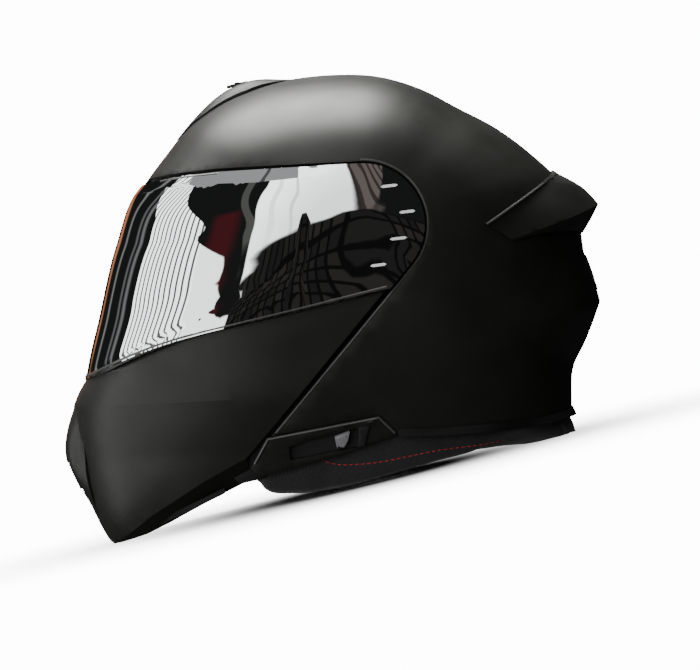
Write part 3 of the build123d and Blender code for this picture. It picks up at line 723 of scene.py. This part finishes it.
chin_outline = [
    *reversed(lower_edge(-0.6)[2:]), (-78, SEAM_TOP_Z), (34.45, SEAM_TOP_Z), *seam_line(-1.9)[1:2],
    (-72.9, 17.2), (-81, 15.8), (-130, 3.1), (-146, 0), (-200, 0),
]  # fmt: skip
chin = skin(
    "chin_bar_skin", "chin_bar", BASE, chin_outline, SHELL_WALL, relief=chin_relief, spacing=2.6, bevel=0.8,
    creased=9, creases=[[tuple(p) for p in line[1:-1]] for line in (CHIN_CREASE, CHIN_BEVEL)],
)  # fmt: skip
paint(chin, MATTE_BLACK, "shell_black")
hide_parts("chin_bar")

# The raised vent at the middle of the chin bar, with its mouth.
VENT_SWELL = Form(0.2, swell=lambda angle: bump(angle, 204.5, 9.5, 9.5, 9.6))


def chin_points(corners):
    """Flat outline through (x, z) corners of the chin, in order, from the middle plane and back to it."""
    return np.array([BASE.flat_at(x, 1, z, 188, 232) for x, z in corners])


def chin_vent_top(flat):
    points = VENT_SWELL.place(flat)
    side = fade(np.abs(points[:, 0]), 26, 40)
    low = BASE.place(flat) + BASE.normals(flat) * 1.2
    return points * (1 - side)[:, None] + low * side[:, None]


def just_above_base(lift):
    """A surface that follows the form, lift millimetres outside it."""
    return lambda flat: BASE.place(flat) + lift * BASE.normals(flat)


vent_outline = dense([(0, 20), (24, 20), (33, 34), (41, 62), (40, 88), (36, 103), (0, 103)], 2.5)
mouth = dense([(0, 36.5), (17, 36.5), (19.5, 39), (20.5, 58.5), (19, 61), (0, 61)], 2.0)
chin_vent = block(
    "chin_vent_cover", "chin_bar", chin_points(vent_outline), chin_vent_top, just_above_base(0.2),
    holes=[chin_points(mouth)], spacing=2.5, bevel=0.6,
)  # fmt: skip
paint(chin_vent, MATTE_BLACK, "shell_black")
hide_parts("chin_vent_housing")

# ---- visor
LENS = Form(VISOR_PROUD, VISOR_HALF_WIDTH - VISOR_PROUD, VISOR_FULLNESS)
visor_outline = [(37.7, 116), *round_end(-0.4), *brow_line(-0.4)[1:], *reversed(lower_edge(0)[1:])]
VISOR_FOLD = np.array(
    [(-140, 204), (-100, 209), (-80, 209), (-64, 206.6), (-27, 198.6), (4, 194.5), (26, 192.5)]
)


def visor_relief(y, z, _x):
    """The lens bulges at mid height and folds inwards along a line under its top edge."""
    fold = -0.2 * np.maximum(z - np.interp(y, *VISOR_FOLD.T), 0) * (1 - fade(y, 4, 26))
    bulge = 1.5 * np.maximum(0, 1 - ((z - 158) / 50) ** 2) * (1 - fade(y, -20, 45))
    return fold + bulge


visor = skin(
    "visor_lens_mirror", "visor", LENS, visor_outline, VISOR_WALL, creases=[[tuple(p) for p in VISOR_FOLD]],
    relief=visor_relief, spacing=2.2, bevel=0.6, creased=8,
)  # fmt: skip
paint(visor, MIRROR, "visor_mirror")
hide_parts("visor_lens")

MARKS = [
    ((46.4, 177.9), (57.1, 176.6)), ((53.7, 159.9), (63.8, 158.7)),
    ((44.3, 145.3), (55, 144)), ((28.8, 132.2), (38.9, 131.1)),
]  # fmt: skip
marks = bars("visor_marks", "visor", LENS, MARKS, 1.7, 0.35)
paint(marks, PRINT_SILVER, "steel")

# ---- spoiler
FIN_CREASE = [(150, 155), (162, 146.5), (176, 136)]
FIN_RIDGE = [(118, 127.4), (140, 129.6), (166, 133), (190, 136)]
FIN_BEVEL = [(105.2, 138.6), (161.2, 159.4)]


def spoiler_height(y, z):
    """How far the spoiler stands out of the shell: most on its rear ridge, least at its leading edge."""
    ridge_z, edge_z = np.interp(y, *np.array(FIN_RIDGE).T), 140.6 + (y - 104) * 0.375
    above = np.clip((z - ridge_z) / np.maximum(edge_z - ridge_z, 1), 0, 1)
    below = np.clip((ridge_z - z) / (2.5 + 11 * fade(y, 120, 164)), 0, 1)
    full = 14.2 * fade(y, 108, 170)
    edge = 1.2 * fade(z - edge_z, -3.2, -1.4) * (1 - 0.7 * fade(y, 145, 162))
    crease_z = np.interp(y, *np.array(FIN_CREASE).T)
    fold = 1.3 * ridge(z - crease_z, 8, 12) * fade(y, 142, 160) * (1 - fade(y, 165, 176))
    return 1.4 + full * (1 - above) * (1 - below) - 1.0 * below * fade(y, 130, 160) + edge + fold


def spoiler_top(flat):
    ground = BASE.place(flat)
    return ground + BASE.normals(flat) * spoiler_height(ground[:, 1], ground[:, 2])[:, None]


spoiler_outline = [
    (104, 140.6), (160, 161.6), (200, 160), (200, 118.5), (168, 119.5), (150, 124), (137, 126.2),
    (118, 126.4),
]  # fmt: skip
spoiler = block(
    "rear_spoiler_fin", "shell", BASE.flat(dense(spoiler_outline, 2.2)), spoiler_top, just_above_base(0.1),
    creases=[BASE.flat(dense(line, 2.2, closed=False)) for line in (FIN_CREASE, FIN_BEVEL, FIN_RIDGE[:-1])],
    spacing=2.4, bevel=0.7, creased=16,
)  # fmt: skip
paint(spoiler, MATTE_BLACK, "shell_black")
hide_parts("rear_spoiler")

# ---- rear exhaust
def rear_points(corners):
    """Flat outline through (x, z) corners of the back."""
    return np.array([BASE.flat_at(x, 1, z, -50, -5) for x, z in corners])


def exhaust_surface(lift):
    """A surface lift millimetres outside the shell and its folds."""

    def surface(flat):
        points = BASE.place(flat)
        stand = shell_relief(points[:, 1], points[:, 2], points[:, 0]) + lift
        return points + BASE.normals(flat) * stand[:, None]

    return surface


exhaust_outline = dense([(0, 84), (31, 84), (34, 88), (34, 102), (31, 106), (0, 106)], 2)
exhaust_slots = [
    dense([(0, z), (w, z), (w + 1.2, z + 1.5), (w, z + 3), (0, z + 3)], 2)
    for z, w in ((87.5, 25), (93.5, 22), (99.5, 19))
]
exhaust = block(
    "rear_exhaust_grille", "shell", rear_points(exhaust_outline), exhaust_surface(0.7), exhaust_surface(-0.5),
    holes=[rear_points(slot) for slot in exhaust_slots], spacing=2.2, bevel=0.4,
)  # fmt: skip
paint(exhaust, MOULDED_BLACK, "trim_black")
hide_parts("rear_exhaust")

# ---- top vent
def crown_points(corners):
    """Flat outline through (x, y) corners of the crown."""
    return np.array([BASE.flat_at(x, 0, y, 20, 160) for x, y in corners])


TOP_SWELL = Form(0.6, swell=lambda angle: bump(angle, 115, 16, 26, 6.0))


def top_vent_top(flat):
    points, ground = TOP_SWELL.place(flat), BASE.place(flat) + 0.7 * BASE.normals(flat)
    share = 1 - 0.75 * fade(np.abs(points[:, 0]), 15, 31)
    points = ground + (points - ground) * share[:, None]
    pocket = (np.abs(points[:, 0]) < 16.2) & (points[:, 1] > -28.8) & (points[:, 1] < -3.4)
    points[pocket, 2] = np.minimum(points[pocket, 2], 260.3)
    return points


crown_outline = dense([(0, -65), (14.5, -65), (26.5, -44), (30.5, -16), (23.5, 16), (11.5, 34), (0, 34)], 2.2)
inlet = dense([(3, -60), (10, -60), (14, -50), (13.5, -46), (3, -46)], 1.8)
pocket_edges = [
    dense([(0, -28.2 - g), (15.6 + g, -28.2 - g), (15.6 + g, -4 + g), (0, -4 + g)], 1.2, closed=False)
    for g in (0, 1.1)
]
top_vent = block(
    "top_vent_cover", "shell", crown_points(crown_outline), top_vent_top, just_above_base(0.1),
    creases=[crown_points(edge) for edge in pocket_edges], holes=[crown_points(inlet)], spacing=2.2,
    bevel=0.7, creased=30,
)  # fmt: skip
paint(top_vent, MATTE_BLACK, "shell_black")
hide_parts("top_vent_housing")

# ---- side trims and the sun visor slider
TRIM = [(-71, 28.8), (-57.8, 44.2), (12.8, 41), (21.6, 27.2), (-18.5, 23.2), (-38, 22.8), (-69.5, 21.3)]
SLOT = [(-46.5, 27), (-45.5, 35.5), (-34.6, 36.8), (-1.5, 37.2), (-1.5, 25)]


def trim_relief(y, z, _x):
    top_edge = np.interp(y, [-71, -57.8, 12.8, 21.6], [28.8, 44.2, 41, 27.2])
    return 1.5 * ridge(z - top_edge + 2.2, 1.6, 1.4)


for side, holes in (("right", []), ("left", [SLOT])):
    trim = skin(
        f"side_trim_{side}_cover", "shell", Form(0.5), TRIM, SHELL_WALL, holes=holes, relief=trim_relief,
        spacing=2.2, both=False, bevel=0.5,
    )  # fmt: skip
    if side == "right":
        trim.data.transform(Matrix.Scale(-1, 4, (1, 0, 0)))
        trim.data.flip_normals()
    paint(trim, MATTE_BLACK, "trim_black")
    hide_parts(f"side_trim_{side}")

TRACK = [(-47, 27), (-46, 36), (-34, 37.4), (-1, 37.8), (-1, 25)]
track = skin("slider_track", "shell", Form(-2.6), TRACK, 1.0, both=False, bevel=0)
paint(track, RUBBER_BLACK, "trim_black")

STOP = [(-0.9, 37), (5.6, 36.8), (-0.3, 24.5), (-4.5, 25.5)]
stop = skin("slider_stop", "shell", Form(2.2), STOP, 3.0, spacing=1.6, both=False, bevel=0.6)
paint(stop, MOULDED_BLACK, "trim_black")

THUMB = [(-17.0, 34.6), (-6.8, 36.0), (-9.4, 30.5), (-12.8, 26.8), (-17.0, 28.6)]
thumb = skin("sun_visor_thumb", "sun_visor_slider", Form(3.2), THUMB, 4.6, spacing=1.4, both=False, bevel=0.9)
paint(thumb, THUMB_GREY, "slider_grey")
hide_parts("sun_visor_slider")
rib_lines = [((-16.6 + 2.2 * k, 34.2), (-16.6 + 2.2 * k, 34.2 - 6.4 + 1.7 * k)) for k in range(4)]
ribs = bars("thumb_ribs", "sun_visor_slider", Form(3.2), rib_lines, 0.8, 0.3, both=False)
paint(ribs, THUMB_GREY, "slider_grey")

# ---- rounded lips along the edges that catch the light, coloured lighter than the black lacquer: a painted highlight along each edge
seam_edge = [*reversed(cut_line(seam_line(1.9), 46)), *round_end(1.9)[1:]]
trim_edge = [(-68.6, 30.4), (-57.0, 43.2), (12.4, 40.0), (19.8, 28.6)]
seam_lip = lip("shell_seam_lip", "shell", BASE, seam_edge, 1.5, 0.7)
visor_lip = lip("visor_lower_lip", "visor", LENS, [(35.5, 117.3), *lower_edge(1.3)[1:-4]], 2.0, 0.8)
visor_rim = lip("visor_upper_lip", "visor", LENS, brow_line(-1.4)[1:14], 1.3, 0.5, relief=visor_relief)
fin_lip = lip("spoiler_lip", "shell", Form(2.5), [(105.4, 140.0), (158, 159.8)], 1.7, 0.8)
trim_lip = lip("side_trim_lip", "shell", Form(1.4), trim_edge, 1.6, 0.9)
# The lips on the shell and the visor take the lighter colour: painted highlight along their edges.
for piece in (seam_lip, fin_lip, trim_lip):
    paint(piece, PAINTED_HIGHLIGHT_EDGE, "shell_black")
for piece in (visor_lip, visor_rim):
    paint(piece, PAINTED_HIGHLIGHT_EDGE, "trim_black")

# ---- cloth-covered pads
def soft(name, source, material, slot, cap, seams, voxel=5.0, fill=0.7, body="shell"):
    """A pad blown up by cloth simulation inside its CAD solid, by at most cap millimetres.

    seams(points) is 1 where the cloth is sewn down and 0 away from there.
    """
    solid = frame["nodes"][source]
    mesh = bpy.data.meshes.new_from_object(solid.evaluated_get(bpy.context.evaluated_depsgraph_get()))
    mesh.transform(solid.matrix_world)
    piece = bpy.data.objects.new(name, mesh)
    bpy.context.scene.collection.objects.link(piece)
    remesh = piece.modifiers.new("remesh", "REMESH")
    remesh.mode, remesh.voxel_size = "VOXEL", voxel * MM
    apply_modifiers(piece)
    count = len(piece.data.vertices)
    start, normal = np.empty(count * 3), np.empty(count * 3)
    piece.data.vertices.foreach_get("co", start)
    piece.data.vertices.foreach_get("normal", normal)
    start, normal = start.reshape(-1, 3), normal.reshape(-1, 3)
    sewn = seams(start / MM)
    start = start - normal * (cap + sewn * 1.8)[:, None] * MM
    piece.data.vertices.foreach_set("co", start.ravel())
    pins = piece.vertex_groups.new(name="sewn")
    for index in np.nonzero(sewn > 0.5)[0]:
        pins.add([int(index)], 1.0, "REPLACE")
    moved = start + normal * (cap * (1 - sewn))[:, None] * MM
    cloth = piece.modifiers.new("cloth", "CLOTH")
    cloth.settings.quality = 4
    cloth.settings.mass = 0.2
    cloth.settings.tension_stiffness = cloth.settings.compression_stiffness = 12
    cloth.settings.use_pressure = True
    cloth.settings.uniform_pressure_force = 4
    cloth.settings.vertex_group_mass = "sewn"
    cloth.settings.effector_weights.gravity = 0
    cloth.collision_settings.use_collision = False
    for step in range(1, 21):
        bpy.context.scene.frame_set(step)
    graph = bpy.context.evaluated_depsgraph_get()
    blown = np.empty(count * 3)
    piece.evaluated_get(graph).data.vertices.foreach_get("co", blown)
    shift = blown.reshape(-1, 3) - start
    length = np.linalg.norm(shift, axis=1)
    moved = start + shift * np.minimum(1, cap * MM / np.maximum(length, 1e-9))[:, None]
    piece.modifiers.clear()
    bpy.context.scene.frame_set(1)
    piece.data.vertices.foreach_set("co", moved.ravel())
    fine = piece.modifiers.new("fine", "SUBSURF")
    fine.levels = fine.render_levels = 1
    apply_modifiers(piece)
    for polygon in piece.data.polygons:
        polygon.use_smooth = True
    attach(piece, body)
    paint(piece, material, slot)
    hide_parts(source)
    return piece


def sewn_at(distance, width=3.0):
    """1 on a seam and 0 beyond width millimetres from it."""
    return np.clip(1 - np.abs(distance) / width, 0, 1)


def crown_seams(points):
    x, y = np.abs(points[:, 0]), points[:, 1]
    return np.maximum(sewn_at(x - 30), sewn_at((y - 40) * 0.8) * (x < 62))


def cheek_seams(points):
    y, z = points[:, 1], points[:, 2]
    return np.maximum(sewn_at(z - 84 - 0.25 * (y + 10)), sewn_at(z - 46 + 0.1 * (y + 10)))


def neck_seams(points):
    y, z = points[:, 1], points[:, 2]
    line = np.interp(y, *np.array(STITCHES).T)
    return sewn_at(z - line, 4.0) * 0.5 * (y < 100)


def curtain_seams(points):
    return np.maximum(sewn_at(np.abs(points[:, 0]) - 48), sewn_at(points[:, 1] + 96))


STITCHES = [(-28.1, 23.6), (-22.6, 19.6), (-13.7, 16.2), (8.1, 12.8), (43.4, 11.3), (68.7, 8.4), (87.8, 7)]
soft("crown_pad_cloth", "crown_pad", PAD_CLOTH, "pad_fabric", 2.4, crown_seams)
for side in ("left", "right"):
    soft(f"cheek_pad_{side}_cloth", f"cheek_pad_{side}", PAD_CLOTH, "pad_fabric", 2.4, cheek_seams, 4.5)
soft("chin_curtain_cloth", "chin_curtain", NECK_CLOTH, "pad_fabric", 0.3, curtain_seams, 1.2, 0.2, "chin_bar")
neck_cloth = soft("neck_roll_cloth", "neck_roll", NECK_CLOTH, "neck_fabric", 0.9, neck_seams, 5.0, 0.5)

# Red stitches along both sides of the neck roll.
STITCH_LENGTH, STITCH_PITCH = 2.6, 3.7
line = np.array(dense(curve(STITCHES), 0.5, closed=False))
run = np.concatenate([[0], np.cumsum(np.linalg.norm(np.diff(line, axis=0), axis=1))])
surface = bvhtree.BVHTree.FromObject(neck_cloth, bpy.context.evaluated_depsgraph_get())
vertices, faces = [], []
for start in np.arange(0, run[-1] - 3, STITCH_PITCH):
    along_line = start + np.array([0, 0.5, 1]) * STITCH_LENGTH
    ends = zip(np.interp(along_line, run, line[:, 0]), np.interp(along_line, run, line[:, 1]))
    hits = [surface.ray_cast(Vector((0.2, y * MM, z * MM)), Vector((-1, 0, 0))) for y, z in ends]
    if any(hit[0] is None for hit in hits):
        continue
    centres = [np.array(hit[0]) / MM for hit in hits]
    first, ahead = len(vertices), centres[2] - centres[0]
    ahead = ahead / np.linalg.norm(ahead)
    up = np.cross((1, 0, 0), ahead)
    out = np.cross(ahead, up)
    for centre, radius, lift in zip(centres, (0.22, 0.46, 0.22), (-0.2, 0.15, -0.2)):
        for k in range(6):
            around = math.radians(60 * k)
            lifted = out * (lift + 0.1 + radius * math.cos(around))
            vertices.append(centre + lifted + up * radius * math.sin(around))
    for ring in range(2):
        for k in range(6):
            a, b = first + ring * 6 + k, first + ring * 6 + (k + 1) % 6
            faces.append((a, b, b + 6, a + 6))
    faces += [tuple(first + 5 - k for k in range(6)), tuple(first + 12 + k for k in range(6))]
stitches = new_object("neck_roll_stitches", *mirrored(vertices, faces), "shell")
paint(stitches, RED_THREAD, "neck_fabric")

# ---- floor, light and camera
scene = bpy.context.scene
WHITE = 14.0  # strength that shows as paper white
FLOOR_Z = -0.0006

floor_mesh = bpy.data.meshes.new("floor")
floor_corners = [(-9, -9, FLOOR_Z), (9, -9, FLOOR_Z), (9, 9, FLOOR_Z), (-9, 9, FLOOR_Z)]
floor_mesh.from_pydata(floor_corners, [], [(0, 1, 2, 3)])
floor = bpy.data.objects.new("floor", floor_mesh)
scene.collection.objects.link(floor)
FLOOR, tree, shader = new_material("floor_paper", 0.9, specular=0.1)
place = node(tree, "ShaderNodeTexCoord").outputs["Object"]
away = node(tree, "ShaderNodeVectorMath", {0: place}, operation="LENGTH").outputs["Value"]
limits = {"Value": away, "From Min": 0.05, "From Max": 0.42}
share = node(tree, "ShaderNodeMapRange", limits, interpolation_type="SMOOTHSTEP")
shader.inputs["Base Color"].default_value = (0.80, 0.80, 0.79, 1)
glow = node(tree, "ShaderNodeEmission", {"Strength": WHITE})
seen = node(tree, "ShaderNodeLightPath").outputs["Is Camera Ray"]
paper = maths(tree, "MULTIPLY", share.outputs["Result"], seen)
lit = node(tree, "ShaderNodeMixShader", {0: paper, 1: shader.outputs[0], 2: glow.outputs[0]})
clear = node(tree, "ShaderNodeBsdfTransparent")
mixed = node(tree, "ShaderNodeMixShader", {0: seen, 1: clear.outputs[0], 2: lit.outputs[0]})
tree.links.new(mixed.outputs[0], tree.nodes["Material Output"].inputs["Surface"])
floor.data.materials.append(FLOOR)

world = bpy.data.worlds.new("studio")
scene.world = world
world.use_nodes = True
sky = world.node_tree
looked_along = node(sky, "ShaderNodeTexCoord").outputs["Generated"]
toward = node(sky, "ShaderNodeSeparateXYZ", {"Vector": looked_along}).outputs


def plus(first, second):
    return maths(sky, "ADD", first, second)


def minus(first, second):
    return maths(sky, "SUBTRACT", first, second)


def times(first, second):
    return maths(sky, "MULTIPLY", first, second)


def step(value, edge, soft=0.6):
    """0 below edge and 1 above it, over a width of soft."""
    limits = {"Value": value, "From Min": edge - soft / 2, "From Max": edge + soft / 2}
    return node(sky, "ShaderNodeMapRange", limits).outputs["Result"]


def less(share):
    return minus(1.0, share)


def band(value, low, high, soft=0.6):
    return times(step(value, low, soft), less(step(value, high, soft)))


def mix(share, first, second):
    made = node(sky, "ShaderNodeMix", {"Factor": share}, data_type="RGBA")
    for socket, value in ((made.inputs[6], first), (made.inputs[7], second)):
        if isinstance(value, bpy.types.NodeSocket):
            sky.links.new(value, socket)
        else:
            socket.default_value = (*value, 1) if isinstance(value, tuple) else (value, value, value, 1)
    return made.outputs[2]


def rise(level, slope):
    """How far the direction is above a height, times slope."""
    return times(minus(height, level), slope)


bearing = maths(sky, "ARCTAN2", times(toward["Y"], -1), toward["X"])
turn = times(bearing, 180 / math.pi)
height = toward["Z"]

# What stands round the helmet, from the front to its left side: a dark wall with posts, a blind, a pale wall,
# a tower, open sky over a dark house, and brown panels. Turns are in degrees from +X towards the face.
around = mix(band(turn, 127, 131, 3), 0.004, 0.07)
around = mix(band(turn, 135, 138, 2), around, 0.05)
around = mix(band(turn, 152, 155, 2), around, 0.08)
edge_glow = times(step(turn, 166, 3), band(height, 0.085, 0.165, 0.03))
around = mix(edge_glow, around, (0.20, 0.075, 0.035))
slat = maths(sky, "SINE", times(turn, 2 * math.pi / 5.3))
blind = mix(times(step(slat, 0.45, 0.3), step(turn, 57)), 0.96, 0.05)
blind = mix(step(turn, 57), 0.74, blind)
tower_line = maths(sky, "MAXIMUM", rise(0.3, 57), rise(0.3, 130))
tower_side = step(minus(turn, tower_line), 39)
blind_edge = minus(turn, maths(sky, "MAXIMUM", rise(0.47, 130), 0.0))
around = mix(times(less(step(blind_edge, 117)), tower_side), around, blind)
corner = minus(turn, rise(0.3, 22))
around = mix(times(band(corner, 27, 31), step(height, 0.25, 0.04)), around, (0.030, 0.032, 0.028))
tower = times(band(turn, 36, 52, 6), times(band(height, 0.28, 0.48, 0.05), less(tower_side)))
around = mix(tower, around, (0.022, 0.004, 0.005))
roof = minus(rise(0.085, 1), times(turn, 0.0045))
roof = minus(roof, times(band(turn, 4, 7, 1.5), 0.09))
leaning = plus(turn, rise(0.0, 8))
sky_light = mix(step(plus(height, times(turn, 0.01)), 0.45, 0.5), 0.58, 0.95)
sky_light = mix(band(turn, 10, 11.5), sky_light, 0.45)
sky_light = mix(band(turn, 18.5, 21), sky_light, 0.62)
open_sky = times(times(step(leaning, -4.6), less(step(turn, 27))), step(roof, 0.0, 0.012))
around = mix(open_sky, around, sky_light)
panel_edge = plus(turn, rise(0.0, 37))
panels = times(times(less(step(leaning, -4.8)), step(panel_edge, -4.3)), step(height, 0.06, 0.01))
stripe = maths(sky, "SINE", times(leaning, 2.2))
around = mix(panels, around, mix(step(stripe, 0.4, 0.5), (0.050, 0.042, 0.038), (0.016, 0.013, 0.012)))
windows = node(
    sky, "ShaderNodeTexBrick",
    {"Vector": node(sky, "ShaderNodeCombineXYZ", {"X": turn, "Y": times(roof, 55)}).outputs[0],
     "Scale": 0.42, "Color1": (0.011, 0.010, 0.009, 1), "Color2": (0.005, 0.005, 0.005, 1),
     "Mortar": (0.002, 0.002, 0.002, 1), "Mortar Size": 0.16, "Mortar Smooth": 0.5, "Brick Width": 0.9,
     "Row Height": 1.0},
    offset=0.0,
).outputs["Color"]  # fmt: skip
house = times(less(step(roof, 0.0, 0.012)), less(step(turn, 27)))
around = mix(house, around, windows)
# Overhead: a grey ceiling, open over the left side.
ceiling = mix(band(turn, 36, 40), 0.12, 0.03)
around = mix(times(step(height, 0.8, 0.01), step(turn, 8)), around, ceiling)
around = mix(times(step(height, 0.6, 0.05), less(step(leaning, -4.6))), around, 0.09)
surround = mix(step(height, -0.30, 0.1), 0.012, around)
unseen = node(sky, "ShaderNodeBackground", {"Color": surround, "Strength": 3.0})
shown = node(sky, "ShaderNodeBackground", {"Color": (1, 1, 1, 1), "Strength": WHITE})
to_camera = node(sky, "ShaderNodeLightPath").outputs["Is Camera Ray"]
chosen = node(sky, "ShaderNodeMixShader", {0: to_camera, 1: unseen.outputs[0], 2: shown.outputs[0]})
sky.links.new(chosen.outputs[0], sky.nodes["World Output"].inputs["Surface"])


def area(name, place, aim, size, power, colour=(1, 1, 1)):
    """A soft rectangular lamp of power watts."""
    light = bpy.data.lights.new(name, "AREA")
    light.shape, light.size, light.size_y = "RECTANGLE", size[0], size[1]
    light.energy, light.color = power, colour
    lamp = bpy.data.objects.new(name, light)
    lamp.location = place
    lamp.rotation_euler = (Vector(aim) - Vector(place)).to_track_quat("-Z", "Y").to_euler()
    scene.collection.objects.link(lamp)
    return lamp


area("overhead", (-0.35, 0.0, 1.5), (0, 0, 0.15), (1.2, 1.2), 82, (1, 1, 0.95))
fill = area("fill", (2.2, -0.5, 0.5), (0, 0, 0.12), (1.0, 1.0), 22)
fill.visible_glossy = False

AZIMUTH, ELEVATION, ROLL = (math.radians(angle) for angle in (88.0, 1.0, 13.7))
DISTANCE, ACROSS = 5.0, 0.441  # metres from the camera, and the width that the picture shows there
AIM = Vector((0, 0.0112, 0.0918))
direction = Vector(
    (math.sin(AZIMUTH) * math.cos(ELEVATION), -math.cos(AZIMUTH) * math.cos(ELEVATION), math.sin(ELEVATION))
)
lens = bpy.data.cameras.new("camera")
lens.lens = lens.sensor_width * DISTANCE / ACROSS
camera = bpy.data.objects.new("camera", lens)
camera.location = AIM + direction * DISTANCE
turned = direction.to_track_quat("Z", "Y").to_matrix() @ Matrix.Rotation(-ROLL, 3, "Z")
camera.rotation_euler = turned.to_euler()
scene.collection.objects.link(camera)
scene.camera = camera
